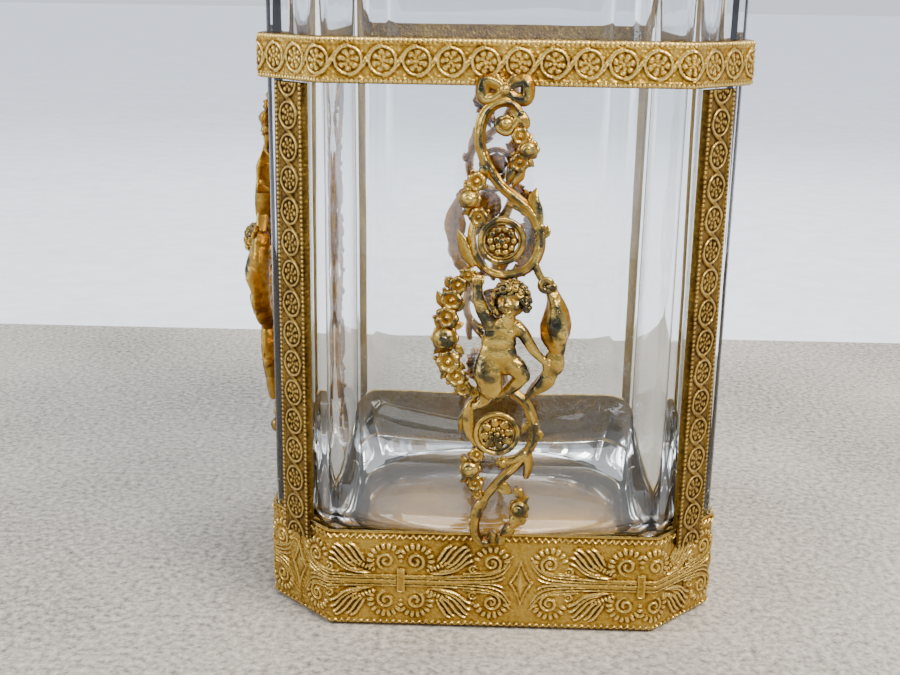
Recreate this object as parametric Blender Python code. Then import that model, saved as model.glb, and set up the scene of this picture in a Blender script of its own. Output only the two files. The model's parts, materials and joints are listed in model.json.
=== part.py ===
"""A glass trinket box in a gilt brass cage, with a hinged lid of bevelled glass.

The vessel is a tall square glass jar with chamfered corners. It stands on a plate in a
pressed brass pan. Four corner straps rise from the pan to a band, a pierced cast mount
with a child among scrolls is bowed over the front, the rear and the left face, and a collar
on the glass rim carries a hinged lid. Metres, +Z up; the origin is under the middle of the pan and the front is
towards -Y. Every outline is the glass outline, grown or shrunk by an offset.
"""
import math

import bmesh
import bpy
from mathutils import Matrix, Vector

MM = 0.001

# Glass vessel
GLASS_WIDTH = 75.4 * MM
GLASS_CHAMFER = 10.6 * MM       # leg of each corner chamfer
GLASS_WALL = 3.6 * MM
GLASS_FLOOR = 6.4 * MM          # thickness of its bottom
GLASS_TOP = 114.0 * MM          # height of its rim above the table
FLOOR_FILLET = 7.0 * MM         # inside, where the wall meets the floor
EDGE_BREAK = 0.7 * MM
FILLET_STEPS = 4

# Gaps
GAP = 0.3 * MM                  # between pieces that touch
PIN_CLEARANCE = 0.1 * MM        # radial, pin in knuckle

# Pan and plate
PAN_HEIGHT = 17.6 * MM
PAN_WALL = 0.6 * MM
PAN_FLOOR = 0.8 * MM
PAN_EDGE = 1.2 * MM             # slope where the side turns under
PLATE_THICKNESS = 0.5 * MM

# Band round the glass
BAND_DROP = 23.4 * MM           # from the glass rim down to its lower edge
BAND_HEIGHT = 6.9 * MM
BAND_PROUD = 1.5 * MM           # from the glass face to the band face
BAND_CHAMFER = 10.9 * MM

# Corner straps
STRAP_WIDTH = 6.9 * MM
STRAP_PLATE = 0.5 * MM
STRAP_LAP = 3.0 * MM            # tongue over the pan

# Pierced mounts
MOUNT_WIDTH = 19.5 * MM         # from the garland to the drapery
MOUNT_OVER_PAN = 2.0 * MM
MOUNT_OVER_BAND = 1.8 * MM
MOUNT_BOW = 3.6 * MM            # how far its middle stands off the line of its ends
MOUNT_DEPTH = 1.6 * MM          # thickness at its ends
TUBE_SIDES = 6

# Collar on the rim
COLLAR_HEIGHT = 7.3 * MM
COLLAR_WALL = 1.2 * MM
COLLAR_LIP = 0.4 * MM
RIM_COVER = 2.4 * MM            # how far the lip and the lid frame reach in from the glass face

# Lid
LID_BEVEL = 1.0 * MM
LID_SILL = 2.1 * MM             # rebate that holds the pane from above
LID_SILL_DEPTH = 1.0 * MM
PANE_EDGE = 1.9 * MM
PANE_BEVEL = 5.4 * MM
PANE_RISE = 1.9 * MM
RETAINER_WIDTH = 2.6 * MM
RETAINER_THICKNESS = 1.0 * MM
RETAINER_LIFT = 0.3 * MM        # from the underside of the frame up to the ring

# Hinge
HINGE_WIDTH = 24.0 * MM
KNUCKLE_RADIUS = 1.5 * MM
PIN_RADIUS = 0.7 * MM
LEAF_THICKNESS = 0.8 * MM
LEAF_HEIGHT = 4.0 * MM
KNUCKLE_SWING = 0.35 * MM       # from a knuckle to the other leaf
KNUCKLE_STANDOFF = 0.2 * MM     # from a knuckle to the gap behind it
LUG_OVERLAP = 0.5 * MM          # how far a lug runs into its leaf
ROUND_SIDES = 20

# Thumb piece
THUMB_WIDTH = 9.0 * MM
THUMB_REACH = 3.4 * MM
THUMB_STEPS = 8
THUMB_SQUARENESS = 0.15         # 0 brings its lip to a point at both ends

# Worked out from the sizes above
PLATE_BOTTOM = PAN_FLOOR + GAP
GLASS_BOTTOM = PLATE_BOTTOM + PLATE_THICKNESS + GAP
CAVITY_FLOOR = GLASS_BOTTOM + GLASS_FLOOR
PAN_PROUD = GAP + PAN_WALL
STRAP_PROUD = PAN_PROUD + GAP + STRAP_PLATE
BAND_BOTTOM = GLASS_TOP - BAND_DROP
COLLAR_TOP = GLASS_TOP + GAP + COLLAR_LIP
COLLAR_BOTTOM = COLLAR_TOP - COLLAR_HEIGHT
COLLAR_PROUD = GAP + COLLAR_WALL
LID_BOTTOM = COLLAR_TOP + GAP
RETAINER_TOP = LID_BOTTOM + RETAINER_LIFT + RETAINER_THICKNESS
PANE_TOP = RETAINER_TOP + GAP + PANE_EDGE
LID_TOP = PANE_TOP + GAP + LID_SILL_DEPTH
HALF = GLASS_WIDTH / 2
HINGE_Y = HALF + COLLAR_PROUD + GAP + KNUCKLE_RADIUS + KNUCKLE_STANDOFF
HINGE_Z = COLLAR_TOP + GAP / 2

GILT = (0.50, 0.36, 0.13)
BRIGHT_PLATE = (0.52, 0.46, 0.32)
CLEAR = (0.90, 0.94, 0.96)


# ---------------------------------------------------------------- materials and objects

def material(name, colour, roughness, metallic, transmission=0.0):
    """A Principled material, made once for each name."""
    found = bpy.data.materials.get(name)
    if found:
        return found
    made = bpy.data.materials.new(name)
    made.use_nodes = True
    shader = made.node_tree.nodes["Principled BSDF"]
    shader.inputs["Base Color"].default_value = (*colour, 1.0)
    shader.inputs["Roughness"].default_value = roughness
    shader.inputs["Metallic"].default_value = metallic
    shader.inputs["Transmission Weight"].default_value = transmission
    return made


def gilt_brass():
    return material("gilt_brass", GILT, 0.32, 1.0)


def add_object(name, mesh, finish, rotation=0.0):
    """Link a mesh as a named part, turned about the upright axis."""
    part = bpy.data.objects.new(name, mesh)
    part.rotation_euler = (0, 0, rotation)
    bpy.context.collection.objects.link(part)
    if not mesh.materials:
        mesh.materials.append(finish)
    return part


def mesh_from(name, bm):
    bmesh.ops.recalc_face_normals(bm, faces=bm.faces)
    mesh = bpy.data.meshes.new(name)
    bm.to_mesh(mesh)
    bm.free()
    return mesh


# ---------------------------------------------------------------- chamfered square shapes

def outline(offset, chamfer=None):
    """Corners of the glass outline, moved out by offset with its faces kept parallel."""
    half = HALF + offset
    leg = GLASS_CHAMFER + (2 - math.sqrt(2)) * offset if chamfer is None else chamfer
    first = [(half, -(half - leg)), (half, half - leg)]
    corners = []
    for quarter in range(4):
        turn = Matrix.Rotation(quarter * math.pi / 2, 2)
        corners += [turn @ Vector(point) for point in first]
    return corners


def loft(name, profile, closed=False):
    """Carry an (offset, height) profile round the glass outline.

    An open profile is capped at both ends and a closed one makes a frame. A point may
    have a third value, the leg of its own corner chamfer.
    """
    bm = bmesh.new()
    rings = []
    for offset, height, *chamfer in profile:
        rings.append([bm.verts.new((x, y, height)) for x, y in outline(offset, *chamfer)])
    pairs = list(zip(rings, rings[1:]))
    if closed:
        pairs.append((rings[-1], rings[0]))
    for lower, upper in pairs:
        for i in range(8):
            j = (i + 1) % 8
            bm.faces.new((lower[i], lower[j], upper[j], upper[i]))
    if not closed:
        bm.faces.new(rings[0])
        bm.faces.new(rings[-1])
    return mesh_from(name, bm)


def extrude_outline(name, points, width, place):
    """A flat outline of (out, up) points, made width thick about its middle and placed."""
    bm = bmesh.new()
    sides = []
    for across in (-width / 2, width / 2):
        sides.append([bm.verts.new(place @ Vector((across, out, up))) for out, up in points])
    bm.faces.new(sides[0])
    bm.faces.new(sides[1])
    for i in range(len(points)):
        j = (i + 1) % len(points)
        bm.faces.new((sides[0][i], sides[0][j], sides[1][j], sides[1][i]))
    return mesh_from(name, bm)


# ---------------------------------------------------------------- joining and cutting

def as_tool(mesh):
    """A helper object that only shapes another and is no part of the box."""
    tool = bpy.data.objects.new("tool_" + mesh.name, mesh)
    tool.hide_render = True
    tool.display_type = "WIRE"
    bpy.context.collection.objects.link(tool)
    return tool


def combined(base, others, operation):
    """The mesh left when each other mesh is joined to, or cut from, the base mesh."""
    body = as_tool(base)
    tools = [as_tool(mesh) for mesh in others]
    for tool in tools:
        step = body.modifiers.new(operation.lower(), "BOOLEAN")
        step.operation = operation
        step.solver = "EXACT"
        step.object = tool
    graph = bpy.context.evaluated_depsgraph_get()
    result = bpy.data.meshes.new_from_object(body.evaluated_get(graph))
    for tool in [body] + tools:
        bpy.data.objects.remove(tool)
    return result


def box_mesh(low, high):
    bm = bmesh.new()
    bmesh.ops.create_cube(bm, size=1.0)
    size = [b - a for a, b in zip(low, high)]
    middle = [(a + b) / 2 for a, b in zip(low, high)]
    bmesh.ops.scale(bm, vec=size, verts=bm.verts)
    bmesh.ops.translate(bm, vec=middle, verts=bm.verts)
    return mesh_from("block", bm)


def rod_mesh(radius, x_low, x_high):
    """A round bar along X on the hinge line."""
    bm = bmesh.new()
    bmesh.ops.create_cone(bm, cap_ends=True, segments=ROUND_SIDES, radius1=radius,
                          radius2=radius, depth=x_high - x_low)
    turn = Matrix.Rotation(math.pi / 2, 4, "Y")
    shift = Matrix.Translation(((x_low + x_high) / 2, HINGE_Y, HINGE_Z))
    bmesh.ops.transform(bm, matrix=shift @ turn, verts=bm.verts)
    return mesh_from("rod", bm)


# ---------------------------------------------------------------- pan, plate, glass, band

def build_base_pan():
    inner_edge = PAN_EDGE / 2
    profile = [
        (PAN_PROUD - PAN_EDGE, 0.0),
        (PAN_PROUD, PAN_EDGE),
        (PAN_PROUD, PAN_HEIGHT),
        (GAP, PAN_HEIGHT),
        (GAP, PAN_FLOOR + inner_edge),
        (GAP - inner_edge, PAN_FLOOR),
    ]
    add_object("base_pan", loft("base_pan", profile), gilt_brass())


def build_floor_plate():
    edge = -PAN_EDGE / 2
    profile = [(edge, PLATE_BOTTOM), (edge, PLATE_BOTTOM + PLATE_THICKNESS)]
    finish = material("bright_plate", BRIGHT_PLATE, 0.28, 1.0)
    add_object("floor_plate", loft("floor_plate", profile), finish)


def build_glass_body():
    profile = [
        (-EDGE_BREAK, GLASS_BOTTOM),
        (0.0, GLASS_BOTTOM + EDGE_BREAK),
        (0.0, GLASS_TOP - EDGE_BREAK),
        (-EDGE_BREAK, GLASS_TOP),
        (-GLASS_WALL + EDGE_BREAK, GLASS_TOP),
        (-GLASS_WALL, GLASS_TOP - EDGE_BREAK),
    ]
    for i in range(FILLET_STEPS + 1):
        angle = i / FILLET_STEPS * math.pi / 2
        inwards = FLOOR_FILLET * (1 - math.cos(angle))
        height = CAVITY_FLOOR + FLOOR_FILLET * (1 - math.sin(angle))
        profile.append((-GLASS_WALL - inwards, height))
    finish = material("clear_glass", CLEAR, 0.03, 0.0, 1.0)
    add_object("glass_body", loft("glass_body", profile), finish)


def build_middle_band():
    top = BAND_BOTTOM + BAND_HEIGHT
    profile = [
        (GAP, BAND_BOTTOM),
        (BAND_PROUD, BAND_BOTTOM, BAND_CHAMFER),
        (BAND_PROUD, top, BAND_CHAMFER),
        (GAP, top),
    ]
    add_object("middle_band", loft("middle_band", profile, closed=True), gilt_brass())


# ---------------------------------------------------------------- corner straps

def build_corner_straps():
    """A bar on each chamfer from the pan to the band, with a thin tongue over the pan."""
    chamfer_distance = (GLASS_WIDTH - GLASS_CHAMFER) / math.sqrt(2)
    back = chamfer_distance + GAP
    tongue_back = chamfer_distance + PAN_PROUD + GAP
    face = chamfer_distance + STRAP_PROUD
    top = BAND_BOTTOM - GAP
    shoulder = PAN_HEIGHT + GAP
    points = [(back, shoulder), (back, top), (face, top), (face, PAN_HEIGHT - STRAP_LAP),
              (tongue_back, PAN_HEIGHT - STRAP_LAP), (tongue_back, shoulder)]
    corners = {"front_right": -3, "rear_right": -1, "rear_left": 1, "front_left": 3}
    for corner, eighths in corners.items():
        name = "corner_strap_" + corner
        turn = Matrix.Rotation(eighths * math.pi / 4, 4, "Z")
        add_object(name, extrude_outline(name, points, STRAP_WIDTH, turn), gilt_brass())


# ---------------------------------------------------------------- pierced mounts

# The mount is drawn (across, up) on a field of these sizes and scaled to its place.
FIELD_WIDTH = 19.5
FIELD_HEIGHT = 76.8

UPPER_SCROLL = [(2.4, 71.0), (0.0, 72.4), (-2.8, 71.2), (-3.7, 68.2), (-3.2, 65.2),
                (-1.2, 61.8), (2.0, 59.2), (4.7, 56.8), (5.9, 53.4), (5.4, 49.9),
                (3.2, 48.0), (0.4, 47.5), (-2.6, 48.6), (-4.4, 51.4)]
LOWER_SCROLL = [(-2.4, 27.4), (0.4, 28.0), (2.6, 27.9), (4.6, 26.4), (5.7, 23.6),
                (5.5, 20.2), (4.2, 17.4), (1.5, 14.4), (-1.0, 11.4), (-2.8, 8.4),
                (-3.0, 4.6), (-2.2, 1.9), (0.8, 0.9)]
TOP_LEFT_GARLAND = [(-1.9, 63.0), (-3.8, 61.2), (-4.7, 58.3), (-2.2, 54.2)]
TOP_RIGHT_GARLAND = [(1.4, 71.4), (2.6, 68.4), (3.6, 65.9), (2.6, 63.6), (0.0, 60.8)]
LEFT_GARLAND = [(-3.0, 48.4), (-5.6, 46.6), (-7.6, 42.6), (-8.4, 37.4), (-7.8, 33.4),
                (-5.6, 29.4), (-2.6, 26.8)]
LOW_LEFT_GARLAND = [(-2.4, 20.4), (-4.0, 15.6), (-3.2, 12.8), (-1.6, 10.4)]
LOW_RIGHT_GARLAND = [(-0.4, 12.4), (2.2, 11.0), (3.9, 8.6), (3.2, 5.6), (1.2, 2.0)]
DRAPERY = [(4.9, 49.2), (6.8, 46.2), (8.9, 41.6), (9.0, 37.2), (8.6, 32.6), (5.2, 28.8),
           (4.4, 26.8)]
RAISED_ARM = [(-1.2, 40.4), (-3.2, 43.2), (-3.4, 48.2)]
RESTING_ARM = [(3.2, 39.8), (4.9, 36.2), (8.2, 33.6)]
NEAR_SHIN = [(-1.2, 30.0), (-2.3, 26.4)]
FAR_SHIN = [(3.4, 31.4), (0.6, 28.2)]
TUBES = [(UPPER_SCROLL, 0.75), (LOWER_SCROLL, 0.75), (TOP_LEFT_GARLAND, 1.1),
         (TOP_RIGHT_GARLAND, 1.1), (LEFT_GARLAND, 1.4), (LOW_LEFT_GARLAND, 1.1),
         (LOW_RIGHT_GARLAND, 1.1), (DRAPERY, 1.5), (RAISED_ARM, 0.9), (RESTING_ARM, 0.85),
         (NEAR_SHIN, 1.0), (FAR_SHIN, 0.9)]
# Rounded masses: middle (across, up), and half sizes (across, deep, up).
MASSES = [((2.0, 43.4), (2.9, 2.0, 3.1)),      # head
          ((0.6, 38.0), (2.9, 1.8, 3.6)),      # chest
          ((0.0, 34.4), (3.3, 2.0, 3.2)),      # belly
          ((-1.4, 31.2), (2.0, 1.9, 3.4)),     # near thigh
          ((2.8, 32.4), (1.7, 1.6, 2.4))]      # far thigh
MEDALLIONS = [(0.1, 52.5), (0.1, 21.9)]
MEDALLION_RADIUS = 3.45
BOW_PLATE = ((-3.8, 72.1), (3.8, 76.8))


MOUNT_LOW = PAN_HEIGHT - MOUNT_OVER_PAN
MOUNT_HIGH = BAND_BOTTOM + MOUNT_OVER_BAND
ACROSS_SCALE = MOUNT_WIDTH / FIELD_WIDTH
UP_SCALE = (MOUNT_HIGH - MOUNT_LOW) / FIELD_HEIGHT
ROUND_SCALE = (ACROSS_SCALE + UP_SCALE) / 2


def mount_point(across, up):
    """Where a point of the drawing lies on the bowed sheet in front of the glass."""
    share = up / FIELD_HEIGHT
    low_out = HALF + PAN_PROUD + GAP + MOUNT_DEPTH / 2
    high_out = HALF + BAND_PROUD + GAP + MOUNT_DEPTH / 2
    out = low_out + (high_out - low_out) * share + MOUNT_BOW * 4 * share * (1 - share)
    return Vector((across * ACROSS_SCALE, -out, MOUNT_LOW + up * UP_SCALE))


def tube_mesh(points, radius):
    """A round bar along drawn points, with its ends capped."""
    path = [mount_point(*point) for point in points]
    bm = bmesh.new()
    rings = []
    for i, centre in enumerate(path):
        along = (path[min(i + 1, len(path) - 1)] - path[max(i - 1, 0)]).normalized()
        side = along.cross(Vector((0, 1, 0))).normalized()
        out = side.cross(along)
        ring = []
        for k in range(TUBE_SIDES):
            angle = 2 * math.pi * k / TUBE_SIDES
            ring.append(bm.verts.new(centre + radius * (math.cos(angle) * side
                                                        + math.sin(angle) * out)))
        rings.append(ring)
    for lower, upper in zip(rings, rings[1:]):
        for k in range(TUBE_SIDES):
            j = (k + 1) % TUBE_SIDES
            bm.faces.new((lower[k], lower[j], upper[j], upper[k]))
    bm.faces.new(rings[0])
    bm.faces.new(rings[-1])
    return mesh_from("tube", bm)


def mass_mesh(centre, sizes):
    across, deep, up = sizes
    bm = bmesh.new()
    bmesh.ops.create_uvsphere(bm, u_segments=8, v_segments=5, radius=1.0)
    bmesh.ops.scale(bm, vec=(across * ACROSS_SCALE, deep * MM, up * UP_SCALE), verts=bm.verts)
    bmesh.ops.translate(bm, vec=mount_point(*centre), verts=bm.verts)
    return mesh_from("mass", bm)


def medallion_mesh(centre):
    bm = bmesh.new()
    radius = MEDALLION_RADIUS * ROUND_SCALE
    bmesh.ops.create_cone(bm, cap_ends=True, segments=12, radius1=radius, radius2=radius,
                          depth=MOUNT_DEPTH)
    turn = Matrix.Rotation(math.pi / 2, 4, "X")
    bmesh.ops.transform(bm, matrix=Matrix.Translation(mount_point(*centre)) @ turn,
                        verts=bm.verts)
    return mesh_from("medallion", bm)


def bow_mesh():
    """A plain plate where the ribbon bow lies on the band."""
    low = mount_point(*BOW_PLATE[0])
    high = mount_point(*BOW_PLATE[1])
    back = -(HALF + BAND_PROUD + GAP)
    return box_mesh((low.x, back - MOUNT_DEPTH, low.z), (high.x, back, high.z))


def build_mounts():
    """One casting, repeated on three faces. The right-hand face carries none."""
    pieces = [tube_mesh(points, radius * ROUND_SCALE) for points, radius in TUBES]
    pieces += [mass_mesh(centre, sizes) for centre, sizes in MASSES]
    pieces += [medallion_mesh(centre) for centre in MEDALLIONS]
    casting = combined(bow_mesh(), pieces, "UNION")
    casting.name = "mount_casting"
    for face, quarter in {"front": 0, "rear": 2, "left": 3}.items():
        add_object("cherub_mount_" + face, casting, gilt_brass(), quarter * math.pi / 2)


# ---------------------------------------------------------------- collar and lid

def build_rim_collar():
    profile = [
        (GAP, COLLAR_BOTTOM),
        (COLLAR_PROUD, COLLAR_BOTTOM),
        (COLLAR_PROUD, COLLAR_TOP),
        (-RIM_COVER, COLLAR_TOP),
        (-RIM_COVER, GLASS_TOP + GAP),
        (GAP, GLASS_TOP + GAP),
    ]
    add_object("rim_collar", loft("rim_collar", profile, closed=True), gilt_brass())


def build_lid_frame():
    inner = -RIM_COVER - LID_SILL
    profile = [
        (-RIM_COVER, LID_BOTTOM),
        (COLLAR_PROUD, LID_BOTTOM),
        (COLLAR_PROUD, LID_TOP - LID_BEVEL),
        (COLLAR_PROUD - LID_BEVEL, LID_TOP),
        (inner, LID_TOP),
        (inner, LID_TOP - LID_SILL_DEPTH),
        (-RIM_COVER, LID_TOP - LID_SILL_DEPTH),
    ]
    add_object("lid_frame", loft("lid_frame", profile, closed=True), gilt_brass())


def build_lid_glass():
    edge = -RIM_COVER - GAP
    shoulder = -RIM_COVER - LID_SILL - GAP
    profile = [
        (edge, PANE_TOP - PANE_EDGE),
        (edge, PANE_TOP),
        (shoulder, PANE_TOP),
        (shoulder - PANE_BEVEL, PANE_TOP + PANE_RISE),
    ]
    add_object("lid_glass", loft("lid_glass", profile),
               material("clear_glass", CLEAR, 0.03, 0.0, 1.0))


def build_lid_retainer():
    edge = -RIM_COVER - GAP
    bottom = RETAINER_TOP - RETAINER_THICKNESS
    inner = edge - RETAINER_WIDTH
    profile = [(inner, bottom), (edge, bottom), (edge, RETAINER_TOP), (inner, RETAINER_TOP)]
    add_object("lid_retainer", loft("lid_retainer", profile, closed=True), gilt_brass())


def build_thumb_piece():
    """A small shell-shaped lift at the front of the lid, thinner towards its lip."""
    bm = bmesh.new()
    back = -(HALF + COLLAR_PROUD + GAP)
    root_low = LID_BOTTOM + 2 * GAP
    root_high = LID_TOP - LID_BEVEL
    lip_thickness = (root_high - root_low) / 3
    root, lip = [], []
    for i in range(THUMB_STEPS + 1):
        share = i / THUMB_STEPS
        across = THUMB_WIDTH * (share - 0.5)
        turn = THUMB_SQUARENESS + (1 - 2 * THUMB_SQUARENESS) * share
        reach = THUMB_REACH * math.sin(math.pi * turn)
        root.append([bm.verts.new((across, back, root_low)),
                     bm.verts.new((across, back, root_high))])
        lip.append([bm.verts.new((across, back - reach, root_high - lip_thickness)),
                    bm.verts.new((across, back - reach, root_high))])
    for i in range(THUMB_STEPS):
        bm.faces.new((root[i][0], root[i + 1][0], lip[i + 1][0], lip[i][0]))
        bm.faces.new((root[i][1], root[i + 1][1], lip[i + 1][1], lip[i][1]))
        bm.faces.new((root[i][0], root[i + 1][0], root[i + 1][1], root[i][1]))
        bm.faces.new((lip[i][0], lip[i + 1][0], lip[i + 1][1], lip[i][1]))
    for end in (0, THUMB_STEPS):
        bm.faces.new((root[end][0], root[end][1], lip[end][1], lip[end][0]))
    add_object("thumb_piece", mesh_from("thumb_piece", bm), gilt_brass())


# ---------------------------------------------------------------- hinge

def knuckle_spans():
    """X ranges of the two outer knuckles and the middle one."""
    edge = HINGE_WIDTH / 2
    inner = HINGE_WIDTH / 6
    return (-edge, -inner - GAP / 2), (-inner + GAP / 2, inner - GAP / 2), (inner + GAP / 2, edge)


def leaf_mesh(spans, direction):
    """A hinge leaf: a plate on the rear face, lugs to its knuckles, and the pin's bore.

    direction is +1 for the leaf on the lid and -1 for the leaf on the collar.
    """
    back = HALF + COLLAR_PROUD + GAP
    front = back + LEAF_THICKNESS
    near = HINGE_Z + direction * (KNUCKLE_RADIUS + KNUCKLE_SWING)
    far = near + direction * LEAF_HEIGHT
    far = min(far, LID_TOP - LID_BEVEL) if direction > 0 else far
    edge = HINGE_WIDTH / 2
    plate = box_mesh((-edge, back, min(near, far)), (edge, front, max(near, far)))
    joined = []
    for low, high in spans:
        reach = near + direction * LUG_OVERLAP
        joined.append(box_mesh((low, back, min(HINGE_Z, reach)),
                               (high, front, max(HINGE_Z, reach))))
        joined.append(rod_mesh(KNUCKLE_RADIUS, low, high))
    solid = combined(plate, joined, "UNION")
    bore = rod_mesh(PIN_RADIUS + PIN_CLEARANCE, -edge - GAP, edge + GAP)
    return combined(solid, [bore], "DIFFERENCE")


def place_on_hinge(part):
    """Put a part's origin on the hinge line, leaving its shape where it is."""
    part.data.transform(Matrix.Translation((0, -HINGE_Y, -HINGE_Z)))
    part.location = (0, HINGE_Y, HINGE_Z)


def build_hinge():
    left, middle, right = knuckle_spans()
    add_object("hinge_leaf_body", leaf_mesh([left, right], -1), gilt_brass())
    add_object("hinge_leaf_lid", leaf_mesh([middle], 1), gilt_brass())
    edge = HINGE_WIDTH / 2
    pin = rod_mesh(PIN_RADIUS, -edge, edge)
    add_object("hinge_pin", pin, gilt_brass())


def build():
    for old in list(bpy.data.objects):
        bpy.data.objects.remove(old)
    build_base_pan()
    build_floor_plate()
    build_glass_body()
    build_middle_band()
    build_corner_straps()
    build_mounts()
    build_rim_collar()
    build_hinge()
    build_lid_frame()
    build_lid_glass()
    build_lid_retainer()
    build_thumb_piece()
    for name in ("hinge_leaf_lid", "hinge_pin", "lid_frame", "lid_glass", "lid_retainer",
                 "thumb_piece"):
        place_on_hinge(bpy.data.objects[name])
    for name in ("hinge_pin", "hinge_leaf_body", "hinge_leaf_lid"):
        mesh = bpy.data.objects[name].data
        mesh.shade_smooth()
        mesh.set_sharp_from_angle(angle=math.radians(35))


build()
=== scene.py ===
"""A glass trinket box in a gilt brass cage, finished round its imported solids.

The stamped strips and the pan are real relief, worked out as heights over the chamfered
outline of the glass. The pierced mounts are tubes along smooth paths, polar rosettes and a
child fused from rounded limbs. Lengths in tables are millimetres; meshes are in metres.
"""

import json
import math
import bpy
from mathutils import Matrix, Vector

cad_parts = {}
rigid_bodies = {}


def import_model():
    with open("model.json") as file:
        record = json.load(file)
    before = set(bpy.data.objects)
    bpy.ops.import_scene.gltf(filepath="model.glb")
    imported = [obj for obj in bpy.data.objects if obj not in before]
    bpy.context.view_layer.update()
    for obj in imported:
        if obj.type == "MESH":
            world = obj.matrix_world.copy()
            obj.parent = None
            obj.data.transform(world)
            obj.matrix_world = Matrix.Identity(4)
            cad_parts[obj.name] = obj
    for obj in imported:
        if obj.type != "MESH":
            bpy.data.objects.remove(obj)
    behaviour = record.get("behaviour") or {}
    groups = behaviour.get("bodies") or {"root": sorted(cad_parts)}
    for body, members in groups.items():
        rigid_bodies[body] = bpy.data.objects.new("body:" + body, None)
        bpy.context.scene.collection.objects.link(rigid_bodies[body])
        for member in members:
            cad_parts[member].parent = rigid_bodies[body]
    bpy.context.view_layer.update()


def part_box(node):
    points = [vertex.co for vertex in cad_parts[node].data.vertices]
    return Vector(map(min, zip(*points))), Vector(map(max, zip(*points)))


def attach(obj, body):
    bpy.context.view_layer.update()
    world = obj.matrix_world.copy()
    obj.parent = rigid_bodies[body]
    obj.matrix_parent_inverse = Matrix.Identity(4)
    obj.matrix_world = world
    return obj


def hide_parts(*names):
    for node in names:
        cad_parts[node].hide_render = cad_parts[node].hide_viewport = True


bl_info = {
    "name": "Gilt Glass Trinket Box",
    "version": (1, 0, 0),
    "blender": (4, 5, 0),
    "location": "3D View > Sidebar > Trinket Box",
    "description": "Builds the embossed, cast and glass pieces of a trinket box",
    "category": "Object",
}

import bpy
import numpy as np
from mathutils import Matrix, Vector

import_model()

MM = 0.001


def node_box(node):
    """A solid's lowest and highest corners, in millimetres."""
    low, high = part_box(node)
    return np.array(low) / MM, np.array(high) / MM


GLASS_LOW, GLASS_HIGH = node_box("glass_body")
PAN_LOW, PAN_HIGH = node_box("base_pan")
BAND_LOW, BAND_HIGH = node_box("middle_band")
COLLAR_LOW, COLLAR_HIGH = node_box("rim_collar")
FRAME_LOW, FRAME_HIGH = node_box("lid_frame")
PANE_LOW, PANE_HIGH = node_box("lid_glass")
MOUNT_LOW, MOUNT_HIGH = node_box("cherub_mount_front")
THUMB_LOW, THUMB_HIGH = node_box("thumb_piece")
STRAP_LOW, STRAP_HIGH = node_box("corner_strap_front_right")

HALF = GLASS_HIGH[0]                    # from the middle to a glass face
CHAMFER = 10.6                          # leg of the glass's corner chamfer
CHAMFER_DISTANCE = (2 * HALF - CHAMFER) / math.sqrt(2)
PAN_PROUD = PAN_HIGH[0] - HALF
BAND_PROUD = BAND_HIGH[0] - HALF
LID_PROUD = FRAME_HIGH[0] - HALF
GAP = 0.3                               # between the glass and the brass round it


def linear(code):
    """An sRGB hex colour turned to linear light, with alpha 1."""
    values = [int(code[k:k + 2], 16) / 255 for k in (1, 3, 5)]
    curved = [v / 12.92 if v <= 0.04045 else ((v + 0.055) / 1.055) ** 2.4 for v in values]
    return (*curved, 1.0)


# ---------------------------------------------------------------- sizes and colours

def length(name, description, default, **limits):
    """A property for a length given in mm, which Blender keeps and shows in its own units."""
    return bpy.props.FloatProperty(name=name, description=description, default=default * MM,
                                   unit="LENGTH", precision=5, **limits)


def colour(name, description, code):
    """A property for a colour given as an sRGB hex value."""
    return bpy.props.FloatVectorProperty(name=name, description=description, size=4,
                                         subtype="COLOR", min=0.0, max=1.0,
                                         default=linear(code))


class BoxSizes(bpy.types.PropertyGroup):
    """Sizes of the ornament and the glass."""
    detail: length("Detail", "Spacing of the relief mesh", 0.16, min=0.1 * MM)
    ring_pitch: length("Ring pitch", "From one rosette ring to the next", 5.1)
    bead_pitch: length("Bead pitch", "Spacing of the milled edge's beads", 0.73)
    pan_repeat: length("Pan repeat", "Length of the pan's repeating motif", 39.5)
    pan_start: length("Pan start", "From the front's middle to a tie of the motif", -15.3)
    glass_wall: length("Glass wall", "Thickness of the glass", 3.6, min=1.0 * MM)
    glass_floor: length("Glass floor", "Thickness of its bottom in the middle", 6.4)


class BoxColours(bpy.types.PropertyGroup):
    """Colours of the finishes."""
    gilt: colour("Gilt", "The sound gilding", "#BC973F")
    # The ridge colour is rubbed gold and painted highlight, the hollow colour dark film and
    # painted shade.
    rubbed: colour("Rubbed", "The brightest rubbed ridges", "#F3D27C")
    patina_and_shade: colour("Patina", "The dark film in hollows", "#3E290D")
    bare: colour("Bare metal", "Where gilding has worn off", "#4C4A3C")
    plate: colour("Plate", "The pale plate under the glass", "#B98628")
    floor: colour("Mat", "The mat under the box", "#B9B2A6")


def size(name):
    """One of the panel's sizes, in mm."""
    return getattr(bpy.context.scene.box_sizes, name) / MM


def colours():
    """The panel's colours, in linear light."""
    return bpy.context.scene.box_colours


def cells(span):
    """How many cells of the relief mesh a span in mm holds; an exact fit counts whole."""
    return int(span / size("detail") + 0.001)


# ---------------------------------------------------------------- shapes

PLAIN_RELIEF = 0.6                      # of a surface with no ornament


class Shape:
    """Points in mm, four- and three-sided faces, and relief: 0 in a hollow, 1 on a ridge; it
    paints shade low and highlight high.
    """

    def __init__(self, points, quads, tris, relief=None):
        self.points = points
        self.quads = quads
        self.tris = tris
        self.relief = np.full(len(points), PLAIN_RELIEF) if relief is None else relief


def joined(shapes):
    """One shape holding them all, each still its own closed surface."""
    starts = np.cumsum([0] + [len(shape.points) for shape in shapes[:-1]])
    return Shape(
        np.concatenate([shape.points for shape in shapes]),
        np.concatenate([shape.quads + start for shape, start in zip(shapes, starts)]),
        np.concatenate([shape.tris + start for shape, start in zip(shapes, starts)]),
        np.concatenate([shape.relief for shape in shapes]))


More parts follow.
